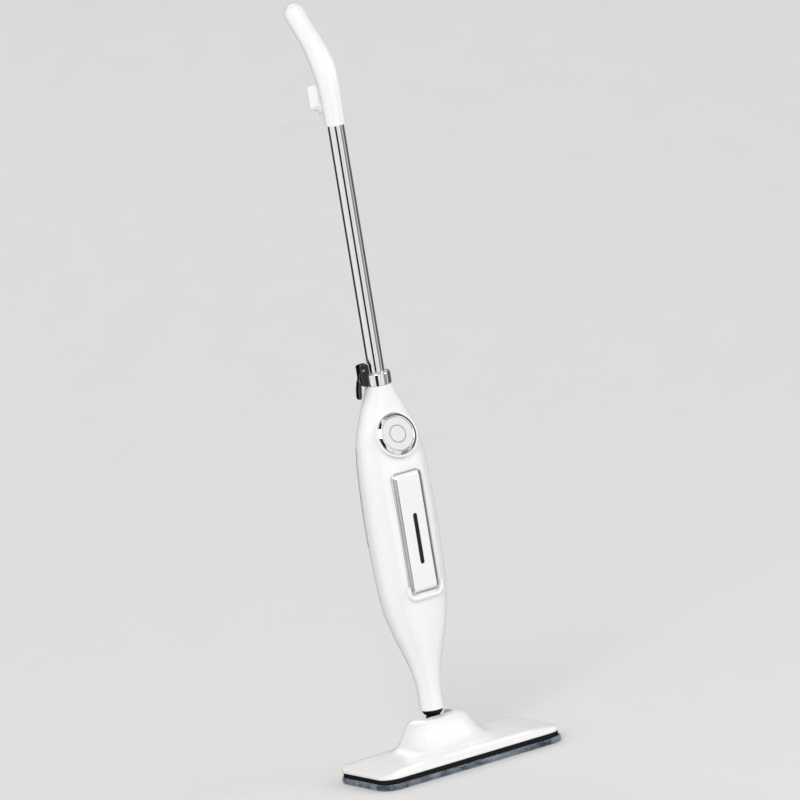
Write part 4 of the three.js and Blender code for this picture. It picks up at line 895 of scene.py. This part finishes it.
# ---- power button ----
def build_button():
    """The bright slanted ring and the cap inside it, with a groove painted grey as shade and a small bar."""
    inner = BUTTON_R + GAP
    foot = -5.8 * MM
    corners = [
        (inner, foot, 0), (BEZEL_R, foot, 0), (BEZEL_R, -2.8 * MM, 1.2 * MM),
        (inner + 1.3 * MM, 0.4 * MM, 1.1 * MM), (inner, -0.3 * MM, 0.4 * MM),
    ]
    bezel = turned("button_bezel_ring", corners, DIAL, closed=True, segments=160)
    place_piece(bezel, "wand", "bright_chrome", "button_bezel", angle=50)
    ring_out, ring_in, dip = 13.9 * MM, 12.5 * MM, 0.7 * MM
    corners = [
        (0, -BUTTON_THICKNESS, 0), (BUTTON_R, -BUTTON_THICKNESS, 0.4 * MM), (BUTTON_R, 0, 1.1 * MM),
        (ring_out + 0.4 * MM, -0.1 * MM, 0.2 * MM), (ring_out, -dip, 0.1 * MM),
        (ring_in, -dip, 0.1 * MM), (ring_in - 0.4 * MM, -0.1 * MM, 0.2 * MM), (0, -0.2 * MM, 0),
    ]
    button = turned("power_button_cap", corners, DIAL, segments=160)
    mark = slab(
        "bar", 0.7 * MM, 4.2 * MM, 0.6 * MM,
        DIAL @ Matrix.Translation((0, 0, -0.5 * MM)), plate_levels(0.45 * MM, 0, 0.15 * MM),
    )
    add(button, mark)
    place_piece(button, "button", "white_shell", "power_button", material=BUTTON)
    into_dial = DIAL.inverted()

    def in_shaded_groove(point):
        place = into_dial @ point
        return ring_in < math.hypot(place.x, place.y) < ring_out and place.z > -1 * MM

    # The recessed ring groove is painted grey as shade.
    add_finish(button, SLOT_MATERIALS["grey_plastic"], in_shaded_groove)


# ---- tube, clamp and lever ----
def build_tube():
    inner, edge = TUBE_R - 1.2 * MM, 0.3 * MM
    corners = [(r, z, edge) for r, z in (
        (inner, tube_low.z), (TUBE_R, tube_low.z), (TUBE_R, tube_high.z), (inner, tube_high.z),
    )]
    tube = turned("telescopic_tube_pipe", corners, closed=True)
    place_piece(tube, "pole", "bright_chrome", "telescopic_tube")
    low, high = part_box("guide_sleeve")
    inner, outer, flange = TUBE_R + GAP, CLAMP_R - 4.8 * MM, high.x
    flange_foot, flange_top = NECK.z + 490 * MM, NECK.z + 494 * MM
    corners = [
        (inner, low.z, 0.4 * MM), (outer, low.z, 0.4 * MM), (outer, flange_foot, 0),
        (flange, flange_foot, edge), (flange, flange_top, edge),
        (outer, flange_top, 0), (outer, high.z, 0.5 * MM), (inner, high.z, 0.5 * MM),
    ]
    sleeve = turned("guide_sleeve_liner", corners, closed=True)
    place_piece(sleeve, "wand", "inner_plastic", "guide_sleeve")


clamp_low, clamp_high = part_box("clamp_collar")
lever_low, lever_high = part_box("clamp_lever")
LEVER = box_middle("lever_pin")
CLAMP_R = clamp_high.x
CLAMP_TOP = NECK.z + 522.3 * MM
HUB_HALF = 3.4 * MM  # half the hub's thickness
LEVER_BORE_R = 2.3 * MM
LEVER_HUB_R = lever_high.x - LEVER.x


def axis_bore(low, high, radius):
    """A rod along the body's axis that reaches 10 mm past two heights."""
    foot, top = (Vector((0, NECK.y, z)) for z in (low - 10 * MM, high + 10 * MM))
    return rod("bore", foot, top, radius, segments=96)


def build_clamp():
    """The bright collar with its slotted lugs, the shoe that it presses on the tube, and the pin."""
    bore = CLAMP_R - 4.5 * MM
    low, high = clamp_low.z, CLAMP_TOP
    corners = [
        (bore, low, 0.4 * MM), (CLAMP_R, low, 0.9 * MM), (CLAMP_R, high, 1.6 * MM), (bore, high, 0.6 * MM),
    ]
    collar = turned("clamp_collar_band", corners, closed=True, segments=128)
    lug_foot = low + 2.7 * MM
    half_width = (-bore + 1 * MM - clamp_low.x) / 2
    half_height = (clamp_high.z - lug_foot) / 2
    half_depth = (clamp_high.y - clamp_low.y) / 2
    lug_half = 6.5 * MM
    lugs = slab(
        "lugs", half_width, half_height, 3.2 * MM,
        upright(clamp_low.x + half_width, NECK.y + lug_half, lug_foot + half_height),
        plate_levels(2 * lug_half, 0.9 * MM, 0.9 * MM),
    )
    cut(lugs, axis_bore(low, clamp_high.z, bore))
    add(collar, lugs)
    slot = block((-FAR, NECK.y - HUB_HALF - GAP, low - 10 * MM), (0, NECK.y + HUB_HALF + GAP, ABOVE))
    cut(collar, slot, bar("eye", LEVER, Y * 2 * half_depth, LEVER_BORE_R))
    place_piece(collar, "wand", "bright_chrome", "clamp_collar")
    add_finish(collar, SLOT_MATERIALS["dark_chrome"], lambda point: point.x < -CLAMP_R)
    low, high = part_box("brake_shoe")
    back = Matrix.Translation((low.x, NECK.y, (low.z + high.z) / 2))
    shoe = slab(
        "brake_shoe_block", (high.z - low.z) / 2, (high.y - low.y) / 2, 0.8 * MM,
        back @ Matrix.Rotation(math.pi / 2, 4, "Y"), plate_levels(high.x - low.x, 0.4 * MM, 0),
    )
    cut(shoe, axis_bore(low.z, high.z, TUBE_R + GAP))
    place_piece(shoe, "wand", "black_plastic", "brake_shoe")
    low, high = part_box("lever_pin")
    length = high.y - low.y
    corners = [
        (0, 0, 0), (1.4 * MM, 0, 0.5 * MM), (2 * MM, 0.7 * MM, 0.3 * MM),
        (2 * MM, length - 0.7 * MM, 0.3 * MM), (1.4 * MM, length, 0.5 * MM), (0, length, 0),
    ]
    pin = turned("lever_pin_rivet", corners, towards(LEVER - Y * length / 2, Y), segments=40)
    place_piece(pin, "wand", "steel", "lever_pin")


def build_lever():
    """A curved arm on the cam hub, with a thicker thumb pad at its end."""
    tip = Vector((lever_low.x + 2.5 * MM, 0, lever_low.z))
    top = Vector((LEVER.x - 1.5 * MM, 0, LEVER.z))
    knee = Vector((LEVER.x - 8.6 * MM, 0, LEVER.z - 13 * MM))
    rings = []
    steps = 36
    for step in range(steps + 1):
        t = step / steps
        middle = top * (1 - t) ** 2 + knee * 2 * t * (1 - t) + tip * t**2
        ahead = ((knee - top) * (1 - t) + (tip - knee) * t).normalized()
        across = Vector((-ahead.z, 0, ahead.x))
        pad = smooth(0.62, 0.68, t)
        half_thickness = (2.1 * MM + 0.6 * MM * pad) * (1 if t < 0.97 else 0.72)
        half_width = HUB_HALF + (5 * MM - HUB_HALF) * smooth(0.42, 0.5, t)
        half_width *= 1 if t < 0.97 else 0.88
        ring = []
        for a, b in rounded_outline(half_width, half_thickness, 1.3 * MM, 5):
            ring.append(Vector((middle.x, NECK.y + a, middle.z)) + across * b)
        rings.append(ring)
    arm = loft("clamp_lever_arm", rings)
    add(arm, bar("hub", LEVER, Y * HUB_HALF, LEVER_HUB_R, 0.6 * MM, 64))
    cut(arm, bar("bore", LEVER, Y * 2 * HUB_HALF, LEVER_BORE_R, segments=40))
    place_piece(arm, "lever", "dark_chrome", "clamp_lever")


# ---- grip ----
# How far back and how high above its foot the grip's middle line runs, in millimetres.
GRIP_PATH = [(0, 0), (0, 50), (5, 83), (17, 107), (34, 129), (52, 148), (67, 165)]
GRIP_MID_R = 18.2 * MM
GRIP_END_R = 16.3 * MM
GRIP_DOME = 0.95  # the end's height over its radius
GRIP_FOOT_R = TUBE_R + 3.1 * MM
GRIP_FOOT_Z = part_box("grip_left_shell")[0].z
hook_low, hook_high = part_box("upper_cord_hook")
HOOK_Z = GRIP_FOOT_Z + 22 * MM
HOOK_BOSS_END = NECK.y + GRIP_FOOT_R + 14.4 * MM


def grip_at(t):
    back = spline_at([point[0] for point in GRIP_PATH], t) * MM
    height = spline_at([point[1] for point in GRIP_PATH], t) * MM
    return Vector((0, NECK.y + back, GRIP_FOOT_Z + height))


def grip_form(name, inset, start, sides, steps):
    """Round sections along the grip's path, thickest before its middle, and a domed end."""
    sections = []
    for step in range(steps + 1):
        t = start + (1 - start) * step / steps
        bulge = math.sin(math.pi * min(t / 0.75, 1)) ** 2
        radius = GRIP_FOOT_R + (GRIP_END_R - GRIP_FOOT_R) * t + (GRIP_MID_R - GRIP_FOOT_R) * bulge - inset
        ahead = grip_at(min(t + 0.01, 1)) - grip_at(min(t, 0.99) - 0.005 * (t > 0))
        sections.append((grip_at(t), ahead.normalized(), radius))
    end, ahead, radius = sections[-1]
    for step in range(1, 13):
        angle = 0.5 * math.pi * step / 12.3
        dome = radius * GRIP_DOME * math.sin(angle)
        sections.append((end + ahead * dome, ahead, radius * math.cos(angle)))
    rings = []
    for middle, ahead, radius in sections:
        across = X.cross(ahead)
        turns = [2 * math.pi * i / sides for i in range(sides)]
        rings.append([middle + (X * math.cos(turn) + across * math.sin(turn)) * radius for turn in turns])
    return loft(name, rings)


def gusset():
    """The web under the hook's boss, hollow-sided where it leaves the grip."""
    start = GRIP_FOOT_R - 1 * MM
    end = HOOK_BOSS_END + 8 * MM - NECK.y
    foot, top = GRIP_FOOT_Z + 1.5 * MM, HOOK_Z - 5.6 * MM
    rings = []
    steps = 12
    for step in range(steps + 1):
        t = step / steps
        depth = start + (end - start) * t**0.62
        place = Matrix.Translation((0, NECK.y + depth / 2, foot + (top - foot) * t))
        outline = rounded_outline(6 * MM, depth / 2, 2.2 * MM, 6)
        rings.append([place @ Vector((a, b, 0)) for a, b in outline])
    return loft("gusset", rings)


def hook_shank(name, grow):
    """The hook's round arm, with the ring that keeps it in the grip."""
    start = Vector((0, NECK.y + TUBE_R + 3 * MM, HOOK_Z))
    shank = rod(name, start - Y * grow, (0, hook_low.y + 38 * MM, HOOK_Z), 5 * MM + grow)
    return add(shank, bar("ring", start + Y * 7 * MM, Y * (2.5 * MM + grow), 6.8 * MM + grow))


def build_grip():
    """Two hollow halves, with the hook's boss blended into them."""
    outer = grip_form("grip_left_half", 0, 0, 72, 90)
    boss = rod("boss", (0, NECK.y, HOOK_Z), (0, HOOK_BOSS_END, HOOK_Z), 9.2 * MM, 0.8 * MM, 72)
    add(outer, gusset(), boss)
    remesh = outer.modifiers.new("blend", "REMESH")
    remesh.mode = "VOXEL"
    remesh.voxel_size = 0.9 * MM
    flow = outer.modifiers.new("flow", "SMOOTH")
    flow.factor = 0.5
    flow.iterations = 10
    settle(outer)
    cut(outer, grip_form("hollow", 2.6 * MM, 0.27, 48, 50))
    trim = block((-FAR, -FAR, 0), (FAR, FAR, GRIP_FOOT_Z + 0.1 * MM))
    socket = axis_bore(GRIP_FOOT_Z, tube_high.z - 6 * MM, TUBE_R + GAP)
    cut(outer, trim, socket, hook_shank("shank_room", GAP))
    cut(outer, *[screw_hole(node, X) for node in GRIP_SCREWS])
    right = duplicate(outer, "grip_right_half")
    cut(right, block((-FAR, -FAR, 0), (GAP / 2, FAR, ABOVE)))
    cut(outer, block((-GAP / 2, -FAR, 0), (FAR, FAR, ABOVE)))
    place_piece(outer, "pole", "white_shell", "grip_left_shell", angle=60)
    place_piece(right, "pole", "white_shell", "grip_right_shell", angle=60)


def build_hook():
    half = (hook_high.x - hook_low.x) / 2
    thickness = 5 * MM
    half_height = (hook_high.z - HOOK_Z + 5 * MM) / 2
    tongue = slab(
        "tongue", half, half_height, 6 * MM, upright(0, hook_high.y, HOOK_Z - 5 * MM + half_height),
        plate_levels(thickness, 1.7 * MM, 1.7 * MM), corner_steps=14,
    )
    shank = hook_shank("upper_cord_hook_arm", 0)
    place_piece(add(shank, tongue), "hook", "white_shell", "upper_cord_hook")


# ---- neck ----
SWIVEL = box_middle("swivel_pin")
TILT = box_middle("tilt_pin")
PIN_R = length_along("tilt_pin", Z) / 2
CLEVIS_R = 8.5 * MM
TONGUE_HALF = 6.7 * MM


def pin_bore(middle, axis):
    return bar("bore", middle, axis * 100 * MM, PIN_R + GAP)


def build_neck():
    """The collar's tongue in the knuckle's fork, and the knuckle's barrel in the head."""
    seat, foot, top = NECK.z - GAP, NECK.z - 8 * MM, NECK.z + 25 * MM
    corners = [
        (0, foot, 0), (13 * MM, foot, 0.8 * MM), (17.3 * MM, seat, 0.5 * MM),
        (15.2 * MM, seat, 0), (15.2 * MM, top, 0.6 * MM), (0, top, 0),
    ]
    collar = turned("neck_collar_ring", corners)
    low = (-CLEVIS_R, NECK.y - TONGUE_HALF, SWIVEL.z)
    stem = block(low, (CLEVIS_R, NECK.y + TONGUE_HALF, foot + 1 * MM))
    add(collar, bar("eye", SWIVEL, Y * TONGUE_HALF, CLEVIS_R, 0.5 * MM, 64), stem)
    steam = rod("steam", (0, NECK.y, foot + 2 * MM), (0, NECK.y, top + 1 * MM), 5.2 * MM)
    port = Vector((0, NECK.y, foot + 4.5 * MM))
    cut(collar, pin_bore(SWIVEL, Y), steam, rod("port", port, port + Y * 100 * MM, 2.2 * MM))
    place_piece(collar, "wand", "black_plastic", "neck_collar")
    knuckle_low, knuckle_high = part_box("neck_knuckle")
    half = (knuckle_high.y - knuckle_low.y) / 2
    barrel = bar("neck_knuckle_joint", TILT, X * knuckle_high.x, 9.5 * MM, 0.8 * MM, 72)
    stalk = block((-CLEVIS_R, NECK.y - half, TILT.z), (CLEVIS_R, NECK.y + half, SWIVEL.z))
    add(barrel, stalk, bar("crown", SWIVEL, Y * half, CLEVIS_R, 0.6 * MM, 64))
    slot_half = TONGUE_HALF + GAP
    slot_floor = SWIVEL.z - CLEVIS_R - GAP
    slot = block((-FAR, NECK.y - slot_half, slot_floor), (FAR, NECK.y + slot_half, ABOVE))
    cut(barrel, slot, pin_bore(TILT, X), pin_bore(SWIVEL, Y))
    place_piece(barrel, "knuckle", "black_plastic", "neck_knuckle")
    for node, body, axis in (("tilt_pin", "head", X), ("swivel_pin", "knuckle", Y)):
        reach = axis * (length_along(node, axis) / 2)
        pin = bar(f"{node}_shaft", box_middle(node), reach, PIN_R, 0.5 * MM, 40)
        place_piece(pin, body, "steel", node)


# ---- head ----
base_low, base_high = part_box("base_plate")
shell_low, shell_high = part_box("head_top_shell")
pad_low, pad_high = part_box("mop_pad")
HEAD_HALF_X = shell_high.x
HEAD_HALF_Y = shell_high.y
HEAD_CORNER = 27 * MM
HEAD_STEPS = 56  # rings from the wing in to the hump's top
SHELL_Z = shell_low.z
WING_HEIGHT = 10.5 * MM
SKIRT_HEIGHT = 5 * MM
WING_ROUND = 24 * MM
END_DROP = 3.6 * MM
HUMP_HEIGHT = 43 * MM
HUMP_Y = 30 * MM
HUMP_HALF = 57 * MM
HUMP_FRONT = 54 * MM
HUMP_REAR = 28 * MM
HUMP_SQUARENESS = 2.4
HUMP_STEEPNESS = 9


def wing_top(x, inset):
    """The wing's height: rounded in from its edge, and lower towards the head's ends."""
    inward = min(max(inset / WING_ROUND, 0), 1)
    rise = WING_HEIGHT - SKIRT_HEIGHT - END_DROP * smooth(HEAD_HALF_X - 62 * MM, HEAD_HALF_X, abs(x))
    return SKIRT_HEIGHT + rise * math.sqrt(1 - (1 - inward) ** 2)


def head_top(x, y):
    wing = wing_top(x, min(HEAD_HALF_X - abs(x), HEAD_HALF_Y - abs(y)))
    across = abs(x / HUMP_HALF) ** HUMP_SQUARENESS
    along = abs((y - HUMP_Y) / (HUMP_FRONT if y < HUMP_Y else HUMP_REAR)) ** HUMP_SQUARENESS
    reach = (across + along) ** (1 / HUMP_SQUARENESS)
    return SHELL_Z + wing + HUMP_HEIGHT / (1 + reach**HUMP_STEEPNESS)


def head_rings(wall, floor):
    """Outline rings from the foot of the skirt up and in over the wing and the hump."""
    def ring(inset, height, scale=1.0):
        half_x, half_y = HEAD_HALF_X - wall - inset, HEAD_HALF_Y - wall - inset
        outline = rounded_outline(half_x, half_y, max(HEAD_CORNER - wall - inset, 4 * MM), 16, 36)
        return [Vector((a * scale, b * scale, height(a * scale, b * scale))) for a, b in outline]

    def skirt(level):
        return lambda x, y: floor + level

    def top(x, y):
        return head_top(x, y) - wall

    def over(inset):
        def height(x, y):
            return max(SHELL_Z + wing_top(x, inset), head_top(x, y)) - wall

        return height if inset < WING_ROUND else top

    edge = ((0, 0),) if wall else ((0.7, 0), (0.2, 0.2), (0, 0.7), (0, 4.0), (0.25, 4.35), (0.8, 4.6))
    rings = [ring(inset * MM, skirt(level * MM)) for inset, level in edge]
    for inset in (1.1, 1.8, 2.8, 4, 5.5, 7.2, 9, 11, 13, 15, 17, 19, 21, 23, 25):
        rings.append(ring(inset * MM, over(inset * MM)))
    return rings + [ring(25 * MM, top, 1 - step / HEAD_STEPS) for step in range(1, HEAD_STEPS)]


def neck_notch(name, grow):
    """The recess for the neck joint, open upwards and to the rear, wider where the neck swings."""
    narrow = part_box("neck_knuckle")[1].x + GAP + grow
    front = NECK.y - 15 * MM - grow
    flare, rear = 43 * MM, 146 * MM
    wide = 38 * MM + grow
    spread = wide + (wide - narrow) * (rear - 73 * MM) / (30 * MM)
    floor = TILT.z - 12 * MM - grow
    right = [(narrow, front), (narrow, flare), (spread, rear)]
    plan = [(-narrow, front), *right, (-spread, rear), (-narrow, flare)]
    lower = loft(name, [[Vector((x, y, z)) for x, y in plan] for z in (floor, FAR)])
    upper = 28 * MM + grow
    return add(lower, block((-upper, front, 56 * MM - grow), (upper, FAR, FAR - 10 * MM)))


def build_head():
    """A thin cover with a wing and a hump, and a lined notch that the neck leans back in."""
    shell = loft("head_top_cover", head_rings(0, SHELL_Z))
    solid = duplicate(shell, "solid")
    cut(shell, loft("inner", head_rings(SHELL_WALL, SHELL_Z - 1 * MM)))
    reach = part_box("tilt_pin")[1].x
    lining = neck_notch("lining", SHELL_WALL)
    add(lining, bar("pin_boss", TILT, X * (reach + 3 * MM), 8 * MM))
    add(shell, combine(lining, solid, "INTERSECT"))
    cut(shell, neck_notch("notch", 0), bar("pin_room", TILT, X * (reach + GAP), PIN_R + GAP))
    place_piece(shell, "head", "white_shell", "head_top_shell", angle=38)


BASE_RIM, BASE_FLOOR, BASE_CORNER = 4 * MM, 3 * MM, 26 * MM
STEAM_HOLES, STEAM_PITCH, STEAM_HOLE_R = 6, 36 * MM, 1.6 * MM


def build_base():
    """A tray with pillars for the head's screws, a row of steam holes and recesses for the tapes."""
    half_x, half_y = base_high.x, base_high.y
    height = base_high.z - base_low.z
    plate = slab(
        "base_plate_tray", half_x, half_y, BASE_CORNER, Matrix.Translation((0, 0, base_low.z)),
        plate_levels(height, 0.9 * MM, 0.5 * MM), corner_steps=24,
    )
    pocket = slab(
        "pocket", half_x - BASE_RIM, half_y - BASE_RIM, BASE_CORNER - BASE_RIM,
        Matrix.Translation((0, 0, base_low.z + BASE_FLOOR)), [(0, 0), (0, height)],
    )
    cut(plate, pocket)
    for node in HEAD_SCREWS:
        x, y, _ = box_middle(node)
        add(plate, rod("pillar", (x, y, base_low.z + 0.2 * MM), (x, y, base_high.z), 6 * MM))
    cut(plate, *[screw_hole(node, -Z) for node in HEAD_SCREWS])
    for i in range(STEAM_HOLES):
        hole = Vector(((i - (STEAM_HOLES - 1) / 2) * STEAM_PITCH, 0, (base_low.z + base_high.z) / 2))
        cut(plate, bar("steam", hole, Z * (height / 2 + 1 * MM), STEAM_HOLE_R, segments=24))
    for side in ("front", "rear"):
        low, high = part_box(f"hook_tape_{side}")
        middle = (low + high) / 2
        recess = slab(
            "recess", (high.x - low.x) / 2 + GAP, (high.y - low.y) / 2 + GAP, 4 * MM,
            Matrix.Translation((0, middle.y, low.z - 1 * MM)), [(0, 0), (0, high.z - low.z + 1 * MM + GAP)],
        )
        cut(plate, recess)
    place_piece(plate, "head", "black_plastic", "base_plate")


# ---- pad ----
PAD_CORNER = 27 * MM
PAD_RIM = 1.6 * MM  # room left for the swollen rim and the pile
PAD_START = 0.8 * MM  # how much smaller the cover is before it fills out
PAD_THICKNESS = pad_high.z - pad_low.z - 0.3 * MM
PAD_FLOOR = pad_low.z + 0.25 * MM
PAD_OUTLINE = (pad_high.x - PAD_RIM, pad_high.y - PAD_RIM, PAD_CORNER, 22)
TUFTS = 15000


def swell(pad, voxel, pressure, cap):
    """Cloth simulation: air pressure fills the cover out between the floor and the plate."""
    remesh = pad.modifiers.new("cover", "REMESH")
    remesh.mode = "VOXEL"
    remesh.voxel_size = voxel
    settle(pad)
    cloth = pad.modifiers.new("cloth", "CLOTH")
    cloth.settings.use_pressure = True
    cloth.settings.uniform_pressure_force = pressure
    cloth.settings.effector_weights.gravity = 0
    for step in range(1, 21):
        bpy.context.scene.frame_set(step)
    swollen = pad.evaluated_get(bpy.context.evaluated_depsgraph_get())
    reached = [vertex.co.copy() for vertex in swollen.data.vertices]
    pad.modifiers.remove(cloth)
    bpy.context.scene.frame_set(1)
    for vertex, place in zip(pad.data.vertices, reached):
        move = place - vertex.co
        if move.length > cap:
            move *= cap / move.length
        vertex.co += move
    pad.modifiers.new("smooth", "SUBSURF").levels = 1
    settle(pad)


def build_pad():
    """A soft pad whose rim swells past the plate, with short tufts of pile round it."""
    corners = [
        (16 * MM, 0, 0), (PAD_START, 0, 2.4 * MM),
        (PAD_START, PAD_THICKNESS, 2.4 * MM), (16 * MM, PAD_THICKNESS, 0),
    ]
    *outline, corner_steps = PAD_OUTLINE
    place = Matrix.Translation((0, 0, pad_low.z))
    pad = slab("microfibre_pad", *outline, place, fillet(corners, steps=6), corner_steps)
    swell(pad, 5 * MM, 4, 1.6 * MM)
    for vertex in pad.data.vertices:
        place = vertex.co * 90
        lump = noise.noise(place) * 1.1 * MM + noise.noise(place * 3.1) * 0.5 * MM
        outward = Vector((vertex.normal.x, vertex.normal.y, 0))
        vertex.co += outward * lump
        vertex.co.z = min(max(vertex.co.z, PAD_FLOOR), pad_low.z + PAD_THICKNESS)
    tufts = pad_tufts()
    place_piece(pad, "head", "pad_cloth", "mop_pad", angle=180)
    shade(tufts, 180)
    tufts.data.materials.append(PILE_CLOTH)
    tufts.parent = pad


def pad_tufts():
    """Bent three-sided fibres over the pad's rim."""
    draw = random.Random(7)
    outline = rounded_outline(*PAD_OUTLINE, 64)
    count = len(outline)
    points, faces = [], []
    for _ in range(TUFTS):
        i = draw.randrange(count)
        a = Vector(outline[i])
        b = Vector(outline[(i + 1) % count])
        along = (b - a).normalized()
        outward = Vector((along.y, -along.x, 0))
        root = Vector((*a.lerp(b, draw.random()), 0))
        height = draw.uniform(0.08, 0.97) * PAD_THICKNESS
        sink = 1.0 * MM * (abs(height / PAD_THICKNESS - 0.5) * 2) ** 3
        root -= outward * (0.6 * MM + sink)
        root.z = pad_low.z + height
        length = draw.uniform(1.6, 3.2) * MM
        lean = Vector((along.x, along.y, 0)) * draw.uniform(-0.9, 0.9) + Z * draw.uniform(-0.75, 0.25)
        direction = (outward + lean).normalized()
        tip = root + direction * length
        bend = root + direction * length * 0.55 + Z * 0.25 * MM
        low_edge = pad_low.z + 0.3 * MM
        tip.z, bend.z = max(tip.z, low_edge), max(bend.z, low_edge)
        wide = draw.uniform(0.22, 0.42) * MM
        side = direction.cross(Z).normalized() * wide
        rise = side.cross(direction).normalized() * wide
        base = len(points)
        for middle, share in ((root, 1.0), (bend, 0.8)):
            points.extend([middle + side * share, middle - side * share, middle + rise * 1.6 * share])
        points.append(tip)
        faces.append((base, base + 1, base + 2))
        for k in range(3):
            n = (k + 1) % 3
            faces.append((base + k, base + 3 + k, base + 3 + n, base + n))
            faces.append((base + 3 + k, base + 6, base + 3 + n))
    return mesh_piece("pad_pile", points, faces)


# ---- small parts ----
def build_gland():
    """A rubber bush in the back wall, with a rounded flange and a stepped collar."""
    low, high = gland_low, gland_high
    reach = high.y - low.y
    flange_r = (high.x - low.x) / 2
    bore = 3.6 * MM
    corners = [
        (bore, 0, 0.4 * MM), (flange_r - 1 * MM, 0, 0.5 * MM), (flange_r - 1 * MM, 2 * MM, 0.4 * MM),
        (GLAND_R, 2 * MM, 0), (GLAND_R, reach - 3 * MM, 0), (flange_r, reach - 3 * MM, 0.3 * MM),
        (flange_r, reach - 1.2 * MM, 0.8 * MM), (flange_r - 2.4 * MM, reach - 0.4 * MM, 0.8 * MM),
        (bore + 1 * MM, reach, 0.5 * MM), (bore, reach - 0.6 * MM, 0.4 * MM),
    ]
    place = towards((0, low.y, GLAND.z), Y)
    gland = turned("cord_gland_bush", corners, place, closed=True, segments=72)
    place_piece(gland, "wand", "black_rubber", "cord_gland")


def build_screw(node, outward, body):
    """A pan-head screw with a cross recess."""
    length = length_along(node, outward)
    shank = length - SCREW_HEAD_HEIGHT
    corners = [(0, 0, 0), (SCREW_R * 0.6, 0, 0.2 * MM)]
    threads, root_r, half_pitch = 6, SCREW_R * 0.82, 0.35 * MM
    for i in range(threads):
        foot = shank * (0.12 + 0.76 * i / threads)
        corners += [(root_r, foot, 0), (SCREW_R, foot + half_pitch, 0), (root_r, foot + 2 * half_pitch, 0)]
    corners += [
        (SCREW_R, shank * 0.9, 0), (SCREW_R, shank, 0), (SCREW_HEAD_R, shank, 0.2 * MM),
        (SCREW_HEAD_R, length - 0.8 * MM, 1.2 * MM), (SCREW_HEAD_R * 0.5, length, 0.6 * MM), (0, length, 0),
    ]
    place = towards(box_middle(node) - outward * length / 2, outward)
    made = lathe(f"{node}_pan_head", fillet(corners, steps=4), place, segments=36)
    for turn in (0, math.pi / 2):
        arm = slab(
            "recess", 1.9 * MM, 0.42 * MM, 0.2 * MM,
            place @ Matrix.Rotation(turn, 4, "Z") @ Matrix.Translation((0, 0, length - 1.1 * MM)),
            [(0.2 * MM, 0), (0, 1.3 * MM)], corner_steps=3,
        )
        cut(made, arm)
    place_piece(made, body, "steel", node)


def finish_cad_nodes():
    """The CAD nodes that stay get rounded edges and their slot's material."""
    slots = {part["node"]: part["material_slot"] for part in frame["record"]["subparts"]}
    for name, node in frame["nodes"].items():
        if node.hide_render:
            continue
        for polygon in node.data.polygons:
            polygon.use_smooth = False
        soften(node, 0.25 * MM, segments=2, angle=50)
        node.data.materials.clear()
        node.data.materials.append(SLOT_MATERIALS[slots[name]])


build_body()
build_tank()
build_bead()
build_button()
build_tube()
build_clamp()
build_lever()
build_grip()
build_hook()
build_neck()
build_head()
build_base()
build_pad()
build_gland()
for nodes, outward, body in ((SHELL_SCREWS, Y, "wand"), (HEAD_SCREWS, -Z, "head"), (GRIP_SCREWS, X, "pole")):
    for node in nodes:
        build_screw(node, outward, body)
finish_cad_nodes()
